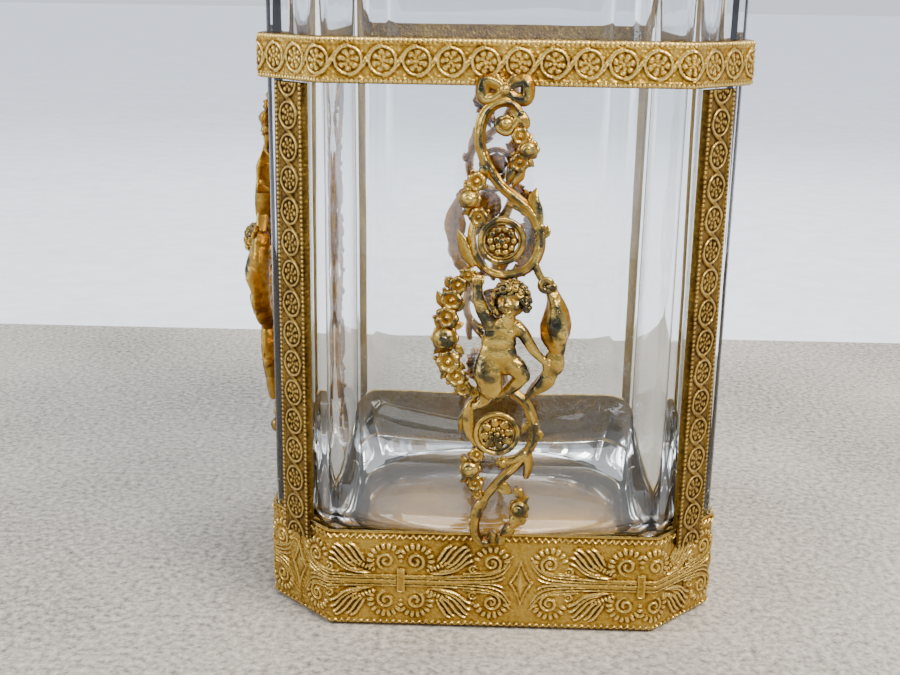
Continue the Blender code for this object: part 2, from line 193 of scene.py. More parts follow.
def outward(shape):
    """The shape with its faces turned out: six times its volume must come out positive."""
    middle = shape.points.mean(0)
    corners = np.concatenate([shape.tris, shape.quads[:, :3], shape.quads[:, [0, 2, 3]]])
    a, b, c = (shape.points[corners[:, k]] - middle for k in range(3))
    if np.einsum("ij,ij->i", a, np.cross(b, c)).sum() < 0:
        shape.quads = shape.quads[:, ::-1]
        shape.tris = shape.tris[:, ::-1]
    return shape


def grid(points, relief=None, ring=False, loop=False, caps=False):
    """A surface through a grid of points, rows by columns.

    ring closes each row on itself, loop joins the last row to the first, and caps closes
    the first and last row with a fan to their middle.
    """
    rows, columns = points.shape[:2]
    index = np.arange(rows * columns).reshape(rows, columns)
    if ring:
        index = np.hstack([index, index[:, :1]])
    if loop:
        index = np.vstack([index, index[:1]])
    corners = (index[:-1, :-1], index[:-1, 1:], index[1:, 1:], index[1:, :-1])
    quads = np.stack(corners, -1).reshape(-1, 4)
    flat = points.reshape(-1, 3)
    tris = np.zeros((0, 3), int)
    shade = None if relief is None else relief.reshape(-1)
    if caps:
        first, last = index[0], index[-1]
        pole = rows * columns
        tris = np.concatenate([
            np.stack([first[1:], first[:-1], np.full(len(first) - 1, pole)], -1),
            np.stack([last[:-1], last[1:], np.full(len(last) - 1, pole + 1)], -1)])
        flat = np.concatenate([flat, points[:1].mean(1), points[-1:].mean(1)])
        if shade is not None:
            shade = np.concatenate([shade, [relief[0].mean(), relief[-1].mean()]])
    return outward(Shape(flat, quads, tris, shade))


def make_mesh(name, shape):
    """A smooth-shaded mesh of the shape, in metres, its relief kept as an attribute."""
    mesh = bpy.data.meshes.new(name)
    counts = np.r_[np.full(len(shape.quads), 4), np.full(len(shape.tris), 3)]
    corners = np.r_[shape.quads.ravel(), shape.tris.ravel()]
    mesh.vertices.add(len(shape.points))
    mesh.vertices.foreach_set("co", (shape.points * MM).astype(np.float32).ravel())
    mesh.loops.add(len(corners))
    mesh.loops.foreach_set("vertex_index", corners.astype(np.int32))
    mesh.polygons.add(len(counts))
    starts = np.r_[0, np.cumsum(counts)[:-1]].astype(np.int32)
    mesh.polygons.foreach_set("loop_start", starts)
    mesh.update(calc_edges=True)
    mesh.shade_smooth()
    layer = mesh.attributes.new("relief", "FLOAT", "POINT")
    layer.data.foreach_set("value", shape.relief.astype(np.float32))
    return mesh


def add_piece(name, shape, finish, replaced, body="case", sharp=180):
    """A finished piece that rides on a body and stands for the solid it replaces.

    Edges where its faces meet at more than sharp degrees stay crisp.
    """
    mesh = make_mesh(name, shape)
    mesh.set_sharp_from_angle(angle=math.radians(sharp))
    mesh.materials.append(finish)
    piece = bpy.data.objects.new(name, mesh)
    bpy.context.scene.collection.objects.link(piece)
    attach(piece, body)
    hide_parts(replaced)


def turned(shape, degrees):
    """A copy of the shape turned anticlockwise about the upright axis."""
    angle = math.radians(degrees)
    turn = np.array([[math.cos(angle), -math.sin(angle), 0],
                     [math.sin(angle), math.cos(angle), 0], [0, 0, 1]])
    return Shape(shape.points @ turn.T, shape.quads, shape.tris, shape.relief)


# ---------------------------------------------------------------- paths

class Outline:
    """The glass's chamfered square, set out by an offset, followed anticlockwise by distance.

    Distance 0 is the middle of the front. The heading is constant along a side and turns
    evenly round each corner, so its points and outward directions follow from it.
    """

    SAMPLES = 8001

    def __init__(self, offset, chamfer=None, radius=0.8):
        """Walk the outline in small steps and spread what is left open at the end evenly."""
        half = HALF + offset
        leg = CHAMFER + (2 - math.sqrt(2)) * offset if chamfer is None else chamfer
        cut = radius * math.tan(math.pi / 8)
        bend = radius * math.pi / 4
        flat = 2 * (half - leg - cut)
        slope = leg * math.sqrt(2) - 2 * cut
        lengths = [flat / 2]
        for _ in range(4):
            lengths += [bend, slope, bend, flat]
        lengths[-1] = flat / 2
        self.ends = np.cumsum([0] + lengths)
        self.headings = np.repeat(np.arange(9), 2) * math.pi / 4
        self.length = self.ends[-1]
        fine = np.linspace(0, self.length, self.SAMPLES)
        heading = np.interp((fine[1:] + fine[:-1]) / 2, self.ends, self.headings)
        step = fine[1] - fine[0]
        walked = np.cumsum(np.stack([np.cos(heading), np.sin(heading)], -1) * step, 0)
        walked = np.concatenate([[[0.0, 0.0]], walked])
        walked -= np.linspace(0, 1, len(walked))[:, None] * walked[-1]
        self.fine = fine
        self.walked = walked + np.array([0.0, -half])

    def at(self, distance):
        """Points and outward directions at distances along the outline."""
        wrapped = np.mod(distance, self.length)
        points = np.stack([np.interp(wrapped, self.fine, self.walked[:, k])
                           for k in range(2)], -1)
        heading = np.interp(wrapped, self.ends, self.headings)
        return points, np.stack([np.sin(heading), -np.cos(heading)], -1)


def smooth_path(points, count):
    """A Catmull-Rom curve through the points, sampled evenly in its own parameter."""
    points = np.asarray(points, float)
    padded = np.concatenate([2 * points[:1] - points[1:2], points,
                             2 * points[-1:] - points[-2:-1]])
    at = np.linspace(0, len(points) - 1, count)
    cell = np.minimum(at.astype(int), len(points) - 2)
    t = (at - cell)[:, None]
    a, b, c, d = (padded[cell + k] for k in range(4))
    return 0.5 * (2 * b + (c - a) * t + (2 * a - 5 * b + 4 * c - d) * t ** 2
                  + (3 * b - a - 3 * c + d) * t ** 3)


def spiral(centre, outer, inner, first, turns):
    """A curl whose radius shrinks from outer to inner, faster at first; first is in degrees."""
    share = np.linspace(0, 1, 40)
    angle = math.radians(first) + share * turns * 2 * math.pi
    radius = outer + (inner - outer) * share ** 0.8
    return np.stack([centre[0] + radius * np.cos(angle),
                     centre[1] + radius * np.sin(angle)], -1)


def circle_angles(count):
    """Angles of a full turn in even steps."""
    return np.arange(count) / count * 2 * math.pi


def raised(flat, height):
    """Plan points given a height."""
    return np.concatenate([flat, np.full((len(flat), 1), height)], 1)


def rounded(distance, half_width):
    """A round-topped ridge: 1 on its line, 0 beyond its half width."""
    return np.sqrt(np.clip(1 - (distance / half_width) ** 2, 0, None))


def box_mean(height, reach, axis):
    """Running mean over 2 * reach + 1 cells, the edge cells repeated outwards."""
    pad = [(0, 0), (0, 0)]
    pad[axis] = (reach + 1, reach)
    total = np.cumsum(np.pad(height, pad, mode="edge"), axis)
    count = height.shape[axis]
    upper = np.take(total, np.arange(count) + 2 * reach + 1, axis)
    return (upper - np.take(total, np.arange(count), axis)) / (2 * reach + 1)


def painted_relief_shade(height, deepest):
    """Relief tone of a height field: 0.5 on open ground, less at a ridge's foot, more on top.

    The dark at a ridge's foot is painted shade with some patina, the light on top painted
    highlight with some wear. It is how far each point stands above the mean of the ground
    around it.
    """
    around = height
    for _ in range(2):
        around = box_mean(box_mean(around, 2, 0), 2, 1)
    return np.clip(0.52 + 1.3 * (height - around) / deepest, 0, 1)


# ---------------------------------------------------------------- stamped strip relief

STRIP_HALF = (BAND_HIGH[2] - BAND_LOW[2]) / 2
RING_RADIUS = 2.02
RIBBON_REACH = 2.10                     # from the strip's middle to the ribbon's crest
RING_START = 2.2                        # from the front's middle to a ring's middle
BEAD_LINE = STRIP_HALF - 0.42           # from the strip's middle to the beads' middles
STRIP_DEEPEST = 0.34                    # what the relief's highest point may come to
STRIP_SINK = STRIP_DEEPEST * 0.6        # how far the ground lies under the solid's face
EDGE_ROLL = 0.25                        # width of the strip's rounded edges
STRIP_BACK_TONE = 0.40
STRAP_SIDE_TONE = 0.68
BAND_CHAMFER = 10.9                     # leg of the band's own corner chamfer
LIP_REACH = 2.4                         # how far the collar's lip covers the glass rim
LIP_THICKNESS = 0.4
STRAP_FACE = 1.70                       # from the glass to the strap's outer face
STRAP_LAP = 1.2                         # from the glass to its back, where it laps the pan

# Rings of petals: how many, turn from one rosette to the next, radius, width and height.
PETAL_RINGS = ((7, 1.7, 1.28, 0.30, 0.28), (5, 2.3, 0.66, 0.24, 0.26))


def strip_relief(along, across, pitch, bead):
    """Height of the stamped strip: rings round rosettes, a ribbon over and under them, beads.

    The ribbon is one sine stroke between two rings, from under the first to over the next,
    its crest running into the ring, with a groove along its middle. A rosette is seven
    petals round five round a boss. Beads are domes at an even pitch along both edges.
    """
    cell = np.mod(along + pitch / 2, pitch) - pitch / 2
    radius = np.hypot(cell, across)
    angle = np.arctan2(across, cell)
    height = 0.26 * rounded(radius - RING_RADIUS, 0.20)
    between = np.mod(along, pitch) - pitch / 2
    slope = RIBBON_REACH * math.pi / pitch * np.cos(math.pi * between / pitch)
    off = np.abs(across - RIBBON_REACH * np.sin(math.pi * between / pitch))
    off = off / np.sqrt(1 + slope ** 2)
    outside = np.clip((radius - RING_RADIUS + 0.25) / 0.2, 0, 1)
    ribbon = 0.27 * rounded(off, 0.40) - 0.10 * rounded(off, 0.15)
    height = np.maximum(height, ribbon * outside)
    seed = np.floor((along + pitch / 2) / pitch)
    flower = 0.26 * np.exp(-(radius / 0.26) ** 2)
    for petals, turn, middle, width, deep in PETAL_RINGS:
        wave = 0.5 + 0.5 * np.cos(petals * angle + seed * turn)
        flower += deep * wave * np.exp(-((radius - middle) / width) ** 2)
    height += flower * (radius < RING_RADIUS - 0.1)
    bead_cell = np.mod(along, bead) - bead / 2
    bead_off = np.hypot(bead_cell, np.abs(across) - BEAD_LINE)
    height = np.maximum(height, 0.24 * rounded(bead_off, bead * 0.43))
    rim = np.abs(np.abs(across) - (BEAD_LINE - 0.48))
    return np.maximum(height, 0.08 * rounded(rim, 0.12))


# ---------------------------------------------------------------- stamped pan relief

PAN_MIDDLE = 8.6                        # height of the motif's line of symmetry
PAN_REACH = 8.2                         # how far the motif reaches above and below it
MAP_STEP = 0.06                         # cell of the map of heights
PAN_DEEPEST = 0.50
PAN_SINK = PAN_DEEPEST * 0.55           # how far the ground lies under the solid's face
PAN_CORNER = 1.6                        # radius of the pan's upright corners
PAN_ROLL = 1.2                          # radius of the pan's rolled lower edge
PAN_BACK_TONE = 0.56
ZIGZAG_PITCH = 1.1
ZIGZAG_RISE = 0.62
STEM_STROKE = (0.17, 0.34)              # half width and height
SPRAY_STROKE = (0.25, 0.46)

# Strokes of one quarter of the motif, by points: along from the tie, and up from the line
# of symmetry. Curls also have their half width and height.
STEMS = [
    [(0.8, 0.10), (8.0, 0.10), (12.5, 0.15), (15.0, 0.25), (16.4, 0.60), (17.3, 1.3)],
    [(0.8, 0.48), (8.0, 0.48), (12.0, 0.60), (14.8, 0.85), (16.6, 1.60), (17.6, 2.9),
     (18.4, 4.4)],
    [(0.8, 0.88), (7.0, 0.92), (11.0, 1.10), (13.8, 1.35), (15.9, 1.9), (17.2, 3.0),
     (17.8, 4.4), (18.6, 5.2)],
    [(10.4, 1.5), (13.0, 1.75), (15.2, 1.95), (16.8, 2.7), (17.3, 3.7)],
]
SPRAY = [
    [(4.6, 1.35), (7.0, 1.5), (9.2, 2.2), (10.8, 3.5), (12.2, 4.1)],
    [(6.0, 1.75), (8.2, 2.25), (9.8, 3.4), (11.0, 4.8), (11.9, 5.0)],
    [(6.9, 2.3), (8.6, 3.2), (9.8, 4.6), (10.8, 5.8), (11.4, 5.9)],
    [(6.6, 2.7), (8.0, 3.8), (9.2, 5.4), (10.4, 6.4), (11.0, 6.3)],
    [(6.2, 3.0), (7.2, 4.1), (8.3, 5.8), (9.3, 6.5)],
    [(5.9, 3.4), (6.7, 4.9), (7.6, 6.2), (8.6, 6.7)],
]
CURLS = [
    (spiral((2.4, 3.6), 1.75, 0.25, -120, 1.65), 0.27, 0.42),
    (spiral((15.0, 3.6), 1.85, 0.25, -150, 1.9), 0.25, 0.42),
    (spiral((11.9, 2.4), 0.62, 0.55, 0, 1.0), 0.20, 0.34),
]
LOZENGE_HALF = (2.1, 4.6)
# Low swellings under the curls and the spray: middle along and up, reach, height.
PADS = [(2.4, 3.6, 3.3, 0.12), (15.0, 3.6, 3.1, 0.12), (8.9, 4.2, 2.9, 0.10)]
# Fans of petals round the curls: middle, radius, and the petals' angles in degrees.
FANS = [((2.4, 3.6), 2.62, range(-20, 181, 20)), ((15.0, 3.6), 2.5, range(10, 181, 22))]


def stroke_height(u, v, points, half_width, height, pointed):
    """A rounded ridge along a smooth stroke, drawn out to a point at one or both ends."""
    path = smooth_path(points, 260)
    low, high = path.min(0) - half_width, path.max(0) + half_width
    inside = (u > low[0]) & (u < high[0]) & (v > low[1]) & (v < high[1])
    made = np.zeros_like(u)
    spot = np.stack([u[inside], v[inside]], -1)
    gaps = np.hypot(spot[:, None, 0] - path[None, :, 0], spot[:, None, 1] - path[None, :, 1])
    nearest = gaps.argmin(1)
    share = nearest / (len(path) - 1)
    left = np.minimum(share, 1 - share) if pointed else 1 - share
    taper = np.clip(left * 8, 0.2, 1)
    made[inside] = height * taper * rounded(gaps.min(1), half_width * (0.45 + 0.55 * taper))
    return made


def pan_quarter():
    """Heights of a quarter of the motif: stems, curls, leaf sprays, petals and the lozenge.

    Each is a rounded ridge about its line or spot, and the highest one at a point counts.
    The lozenge is where one less the 0.8th powers of the two distances is above zero.
    """
    half_repeat = size("pan_repeat") / 2
    along = np.arange(0, half_repeat + MAP_STEP, MAP_STEP)
    up = np.arange(0, PAN_REACH + 1, MAP_STEP)
    u, v = np.meshgrid(along, up, indexing="ij")
    made = np.zeros_like(u)
    for x, y, reach, pad in PADS:
        near = np.clip(1 - np.hypot(u - x, v - y) / reach, 0, 1)
        made = np.maximum(made, pad * np.sqrt(near * (2 - near)))
    strokes = [(points, *STEM_STROKE, False) for points in STEMS]
    strokes += [(points, *SPRAY_STROKE, True) for points in SPRAY]
    strokes += [(*curl, True) for curl in CURLS]
    for points, half_width, height, pointed in strokes:
        made = np.maximum(made, stroke_height(u, v, points, half_width, height, pointed))
    petals = [(4.5 + 0.56 * k, 2.0 + 0.24 * k, 2.1, 0.26) for k in range(7)]
    for (x, y), reach, angles in FANS:
        petals += [(x + reach * math.cos(a), y + reach * math.sin(a), a, 0.36)
                   for a in map(math.radians, angles)]
    for x, y, angle, wide in petals:
        out = (u - x) * math.cos(angle) + (v - y) * math.sin(angle)
        side = -(u - x) * math.sin(angle) + (v - y) * math.cos(angle)
        made = np.maximum(made, 0.44 * rounded(np.hypot(out / 1.7, side), wide))
    for x, y in ((11.9, 2.4), (15.0, 3.6)):
        made = np.maximum(made, 0.34 * rounded(np.hypot(u - x, v - y), 0.26))
    bar = (u < 0.62) & (v < 2.1)
    edge = np.minimum(0.62 - u, 2.1 - v)
    made = np.where(bar, np.where(edge < 0.2, 0.40, 0.24), made)
    across = (half_repeat - u) / LOZENGE_HALF[0]
    star = 1 - np.abs(across) ** 0.8 - (v / LOZENGE_HALF[1]) ** 0.8
    star = np.clip(star, 0, None)
    rim = rounded(np.abs(star - 0.10), 0.08) * 0.36
    cleared = np.clip((1 - across / 1.3 - v / 5.4) * 6, 0, 1)
    made = made * (1 - cleared)
    return np.maximum(made, np.maximum(rim, 0.55 * np.clip(star - 0.24, 0, 0.6)))


def pan_relief(along, up, quarter, repeat):
    """Height of the pan's side: the motif mirrored about tie, lozenge and middle line,
    and a zigzag line close to each edge."""
    folded = np.mod(along - size("pan_start"), repeat)
    folded = np.minimum(folded, repeat - folded) * size("pan_repeat") / repeat
    out = np.abs(up - PAN_MIDDLE)
    i = np.clip(folded / MAP_STEP, 0, quarter.shape[0] - 1.001)
    j = np.clip(out / MAP_STEP, 0, quarter.shape[1] - 1.001)
    a, b = i.astype(int), j.astype(int)
    s, t = i - a, j - b
    height = (quarter[a, b] * (1 - s) * (1 - t) + quarter[a + 1, b] * s * (1 - t)
              + quarter[a, b + 1] * (1 - s) * t + quarter[a + 1, b + 1] * s * t)
    wave = np.abs(np.mod(along, ZIGZAG_PITCH) / (ZIGZAG_PITCH / 2) - 1)
    for line in (PAN_HIGH[2] - 1.05, PAN_LOW[2] + 0.85):
        off = np.abs(up - line - ZIGZAG_RISE * (wave - 0.5))
        height = np.maximum(height, 0.34 * rounded(off, 0.19))
    lip = np.abs(up - PAN_HIGH[2] + 0.18)
    return np.maximum(height, 0.18 * rounded(lip, 0.22))


# ---------------------------------------------------------------- materials

def add_node(tree, kind, inputs=None, **settings):
    """Add a shader node, set its properties, and set or link its inputs."""
    node = tree.nodes.new("ShaderNode" + kind)
    for key, value in settings.items():
        setattr(node, key, value)
    for socket, value in (inputs or {}).items():
        if isinstance(value, bpy.types.NodeSocket):
            tree.links.new(value, node.inputs[socket])
        else:
            node.inputs[socket].default_value = value
    return node


def new_finish(name):
    """A new material, its node tree and its surface shader."""
    finish = bpy.data.materials.new(name)
    finish.use_nodes = True
    tree = finish.node_tree
    return finish, tree, tree.nodes["Principled BSDF"]


def per_mm(feature):
    """A noise or Voronoi scale, per metre, for features of that size in mm."""
    return 1 / (feature * MM)


def gilded(name, stipple=0.0, wear=0.3, grain=0.25, pits=0.05, age=0.0, smooth=0.26,
           relief=True, tones=None):
    """Gilded brass: dark film and painted shade in hollows, sound gold on the ground, pale
    rubbed ridges with painted highlight.

    stipple is the depth of the punched ground, in mm; wear is how much bare grey metal
    shows on high spots; grain and pits are the size and depth in mm of the skin's
    roughness; age is how far the dark film reaches up out of the hollows. tones are four
    colours from hollow to ridge, where they aren't the panel's.
    """
    if name in bpy.data.materials:
        return bpy.data.materials[name]
    finish, tree, shader = new_finish(name)
    place = add_node(tree, "TexCoord").outputs["Object"]
    level = PLAIN_RELIEF
    if relief:
        level = add_node(tree, "Attribute", attribute_name="relief").outputs["Fac"]
    cloud = add_node(tree, "TexNoise", {
        "Vector": place, "Scale": per_mm(7), "Detail": 4.0, "Roughness": 0.6})
    speck = add_node(tree, "TexNoise", {
        "Vector": place, "Scale": per_mm(0.8), "Detail": 3.0, "Roughness": 0.6})
    shifted = add_node(tree, "Math", {0: cloud.outputs["Fac"], 1: 0.5}, operation="SUBTRACT")
    nudged = add_node(tree, "Math", {0: shifted.outputs[0], 1: 0.45, 2: level},
                      operation="MULTIPLY_ADD")
    grainy = add_node(tree, "Math", {0: speck.outputs["Fac"], 1: 0.5}, operation="SUBTRACT")
    summed = add_node(tree, "Math", {0: grainy.outputs[0], 1: 0.40, 2: nudged.outputs[0]},
                      operation="MULTIPLY_ADD")
    mixed = add_node(tree, "Math", {0: summed.outputs[0], 1: age}, operation="SUBTRACT")
    ramp = add_node(tree, "ValToRGB", {"Fac": mixed.outputs[0]})
    if tones:
        hollow, foot, ground, ridge = map(linear, tones)
    else:
        hollow, ground, ridge = colours().patina_and_shade, colours().gilt, colours().rubbed
        foot = linear("#8A621F")
    # From hollow to ridge: dark film with painted shade, painted shade at a ridge's foot, sound
    # gold, rubbed gold with painted highlight.
    stops = ramp.color_ramp.elements
    stops[0].position, stops[0].color = 0.10, hollow
    stops[1].position, stops[1].color = 0.95, ridge
    stops.new(0.32).color = foot
    stops.new(0.50).color = ground
    patch = add_node(tree, "TexNoise", {
        "Vector": place, "Scale": per_mm(3.2), "Detail": 4.0, "Roughness": 0.55})
    high = add_node(tree, "MapRange", {
        "Value": level, "From Min": 0.55, "From Max": 0.85})
    worn = add_node(tree, "MapRange", {
        "Value": patch.outputs["Fac"], "From Min": 0.62 - 0.16 * wear,
        "From Max": 0.72 - 0.16 * wear})
    mask = add_node(tree, "Math", {0: high.outputs[0], 1: worn.outputs[0]},
                    operation="MULTIPLY")
    amount = add_node(tree, "Math", {0: mask.outputs[0], 1: min(1.0, wear * 1.6)},
                      operation="MULTIPLY")
    tint = add_node(tree, "Mix", {
        "Factor": amount.outputs[0], 6: ramp.outputs["Color"], 7: colours().bare},
        data_type="RGBA")
    tree.links.new(tint.outputs[2], shader.inputs["Base Color"])
    shader.inputs["Metallic"].default_value = 1.0
    rough = add_node(tree, "MapRange", {
        "Value": mixed.outputs[0], "From Min": 0.1, "From Max": 0.8,
        "To Min": smooth + 0.30, "To Max": smooth})
    tree.links.new(rough.outputs[0], shader.inputs["Roughness"])
    skin = add_node(tree, "TexNoise", {
        "Vector": place, "Scale": per_mm(grain), "Detail": 3.0, "Roughness": 0.6})
    bump = add_node(tree, "Bump", {
        "Height": skin.outputs["Fac"], "Strength": 0.7, "Distance": pits * MM})
    dents = add_node(tree, "TexNoise", {
        "Vector": place, "Scale": per_mm(2.2), "Detail": 2.0})
    bump = add_node(tree, "Bump", {
        "Height": dents.outputs["Fac"], "Strength": 0.7, "Distance": 4 * pits * MM,
        "Normal": bump.outputs[0]})
    if stipple:
        # Real punch marks are 0.3 mm apart; these are drawn coarser so that they show.
        dots = add_node(tree, "TexVoronoi", {"Vector": place, "Scale": per_mm(0.62)})
        low = add_node(tree, "MapRange", {
            "Value": level, "From Min": 0.5, "From Max": 0.75, "To Min": 1.0,
            "To Max": 0.0})
        height = add_node(tree, "Math", {0: dots.outputs["Distance"], 1: low.outputs[0]},
                          operation="MULTIPLY")
        bump = add_node(tree, "Bump", {
            "Height": height.outputs[0], "Strength": 1.0, "Distance": stipple * MM,
            "Normal": bump.outputs[0]})
    tree.links.new(bump.outputs[0], shader.inputs["Normal"])
    return finish


def stamped_gilt():
    """Stamped gilt brass: crisp ridges rubbed pale with painted highlight over a punched
    ground, darker with painted shade at the ridges' feet.
    """
    return gilded("stamped_gilt_brass", stipple=0.26, wear=0.12, pits=0.06, age=-0.02,
                  smooth=0.24)


def aged_gilt():
    """The straps' stamped brass: the same stamping, its ground gone brown with age."""
    # Its tones run from dark patina with painted shade in the hollows to rubbed gold with
    # painted highlight on the ridges.
    return gilded("aged_stamped_brass", stipple=0.2, wear=0.3, pits=0.06, age=0.13,
                  smooth=0.27, tones=("#35230A", "#785A22", "#9C7A33", "#E0C074"))


def cast_gilt():
    """Cast gilt metal: softer, pitted skin, gone grey where fingers have rubbed it."""
    # Its tones run from orange-brown film with painted shade in the hollows to pale gold with
    # painted highlight on the ridges.
    return gilded("cast_gilt_metal", wear=1.0, grain=0.6, pits=0.14, age=0.10, smooth=0.18,
                  tones=("#4A2606", "#A0641B", "#B08C3C", "#DCC06C"))


def plain_gilt():
    """Plain gilt brass with a thin ochre film and little gloss."""
    return gilded("plain_gilt_brass", wear=0.15, grain=0.5, age=0.08, smooth=0.32,
                  relief=False)


def pale_plate():
    """Bright pale plate: smooth and soft-lustred, with small round tarnish spots."""
    finish, tree, shader = new_finish("pale_bright_plate")
    place = add_node(tree, "TexCoord").outputs["Object"]
    cloud = add_node(tree, "TexNoise", {
        "Vector": place, "Scale": per_mm(14), "Detail": 3.0})
    spots = add_node(tree, "TexNoise", {
        "Vector": place, "Scale": per_mm(2.4), "Detail": 4.0, "Roughness": 0.6})
    stain = add_node(tree, "MapRange", {
        "Value": spots.outputs["Fac"], "From Min": 0.60, "From Max": 0.72})
    ramp = add_node(tree, "ValToRGB", {"Fac": cloud.outputs["Fac"]})
    dark, pale = ramp.color_ramp.elements
    dark.position, dark.color = 0.35, linear("#94691C")
    pale.position, pale.color = 0.62, colours().plate
    tint = add_node(tree, "Mix", {
        "Factor": stain.outputs[0], 6: ramp.outputs["Color"], 7: linear("#6E572C")},
        data_type="RGBA")
    tree.links.new(tint.outputs[2], shader.inputs["Base Color"])
    rough = add_node(tree, "MapRange", {
        "Value": stain.outputs[0], "To Min": 0.30, "To Max": 0.5})
    tree.links.new(rough.outputs[0], shader.inputs["Roughness"])
    shader.inputs["Metallic"].default_value = 1.0
    return finish


def pressed_glass():
    """Thick pressed glass: clear, faintly grey, with the slow ripple of a moulded wall."""
    name = "thick_pressed_glass"
    if name in bpy.data.materials:
        return bpy.data.materials[name]
    finish, tree, shader = new_finish(name)
    shader.inputs["Base Color"].default_value = linear("#FBFDFD")
    shader.inputs["Roughness"].default_value = 0.0
    shader.inputs["IOR"].default_value = 1.52
    shader.inputs["Transmission Weight"].default_value = 1.0
    place = add_node(tree, "TexCoord").outputs["Object"]
    ripple = add_node(tree, "TexNoise", {
        "Vector": place, "Scale": per_mm(16), "Detail": 1.0})
    bump = add_node(tree, "Bump", {
        "Height": ripple.outputs["Fac"], "Strength": 0.15, "Distance": 0.4 * MM})
    tree.links.new(bump.outputs[0], shader.inputs["Normal"])
    return finish


# ---------------------------------------------------------------- glass, pan and strips

def swept(profile, columns, radius=0.8):
    """Rings of the glass outline at (offset, height[, corner radius]) points of a profile."""
    share = np.arange(columns) / columns
    rings = []
    for offset, height, *corner in profile:
        path = Outline(offset, radius=corner[0] if corner else radius)
        points, _ = path.at(share * path.length)
        rings.append(raised(points, height))
    return np.stack(rings)


def arc(centre, radius, start, end, steps):
    """Points of a round stretch of a profile, angles in degrees."""
    angles = np.radians(np.linspace(start, end, steps))
    return [(centre[0] + radius * math.cos(a), centre[1] + radius * math.sin(a))
            for a in angles]


GLASS_COLUMNS = 360                     # points round each ring of the glass


def glass_shape():
    """The vessel: bottom, outer wall, rounded rim, inner wall, deep fillet, dished floor.

    The fillet is a quarter turn that also eases the plan from the chamfered square towards
    a circle, by the square of its sine, so the inside ends in a shallow round bowl.
    """
    low, high = GLASS_LOW[2], GLASS_HIGH[2]
    half_way = 60.0
    wall = size("glass_wall")
    floor = low + size("glass_floor")
    edge, rim, fillet, dish = 0.9, 0.9, 11.0, 0.5
    corner, tightest = 12.0, 4.0        # radii of the inner upright corners, and low down
    bowl_steps = 25
    near = 0.15                         # rings this close to a rounding keep the flats flat
    bottom = [(-20.0, low), (-edge - near, low), *arc((-edge, low + edge), edge, -90, 0, 6)]
    outside = [(0.0, low + edge + near), (0.0, half_way), (0.0, high - rim - near)]
    mouth = arc((-rim, high - rim), rim, 0, 90, 6)
    mouth += arc((-wall + rim, high - rim), rim, 90, 180, 6)
    profile = bottom + outside + mouth
    profile += [(-wall, z, corner) for z in (high - rim - near, half_way,
                                             floor + dish + fillet + near)]
    for angle in np.radians(np.linspace(0, 90, bowl_steps)):
        inwards = fillet * (1 - math.cos(angle))
        height = floor + dish + fillet * (1 - math.sin(angle))
        profile.append((-wall - inwards, height, max(corner - 0.8 * inwards, tightest)))
    rings = swept(profile, GLASS_COLUMNS)
    turn = np.radians(np.linspace(0, 90, bowl_steps))[:, None, None]
    flat = rings[-bowl_steps:, :, :2]
    away = flat / np.linalg.norm(flat, axis=2)[..., None]
    circle = away * (HALF - wall + 0.8 - fillet * (1 - np.cos(turn)))
    rings[-bowl_steps:, :, :2] = flat + (circle - flat) * 0.85 * np.sin(turn) ** 2
    last = rings[-1]
    inner = []
    for share in (0.99, 0.9, 0.75, 0.55, 0.4, 0.25, 0.1):
        ring = last.copy()
        ring[:, :2] *= share
        ring[:, 2] = floor + (last[:, 2] - floor) * share ** 3
        inner.append(ring)
    return grid(np.concatenate([rings, np.stack(inner)]), ring=True, caps=True)


def pan_side(quarter, first):
    """A quarter of the pan's side, from the middle of one corner to the middle of the next.

    The ornament's height pushes the outer face out along the outline's own direction, and
    the rolled lower edge draws it in along a quarter circle. The back is plain.
    """
    outer = Outline(PAN_PROUD, radius=PAN_CORNER)
    inner = Outline(GAP, radius=1.0)
    span = outer.length / 4
    stations = np.linspace(first - span / 2, first + span / 2, cells(span))
    top = PAN_HIGH[2]
    up = np.linspace(0.0, top, cells(top))
    along, level = np.meshgrid(stations, up, indexing="ij")
    repeats = round(outer.length / size("pan_repeat"))
    height = pan_relief(along, level, quarter, outer.length / repeats)
    drawn_in = np.clip(1 - level / PAN_ROLL, 0, 1)
    height *= 1 - drawn_in
    inset = PAN_ROLL * (1 - np.sqrt(1 - drawn_in ** 2))
    points, out = outer.at(stations)
    push = height - PAN_SINK - inset
    front = np.concatenate([points[:, None] + out[:, None] * push[..., None],
                            level[..., None]], -1)
    back_points, back_out = inner.at(stations / outer.length * inner.length)
    backs = []
    for inwards, z in ((0.0, top - 0.1), (0.0, 1.4), (0.6, 0.8), (0.6, 0.0)):
        backs.append(raised(back_points - back_out * inwards, z)[:, None])
    section = np.concatenate([front] + backs, 1)
    plain = np.full((len(stations), len(backs)), PAN_BACK_TONE)
    shade = np.concatenate([painted_relief_shade(height, PAN_DEEPEST), plain], 1)
    return grid(section, shade, ring=True, caps=True)


def pan_floor_shape():
    """The pan's flat bottom: the glass outline, drawn in a little, carried straight up."""
    edge = GAP - 0.6
    profile = [(edge, PAN_LOW[2]), (edge, PAN_LOW[2] + 0.8)]
    return grid(swept(profile, 160, 1.0), ring=True, caps=True)


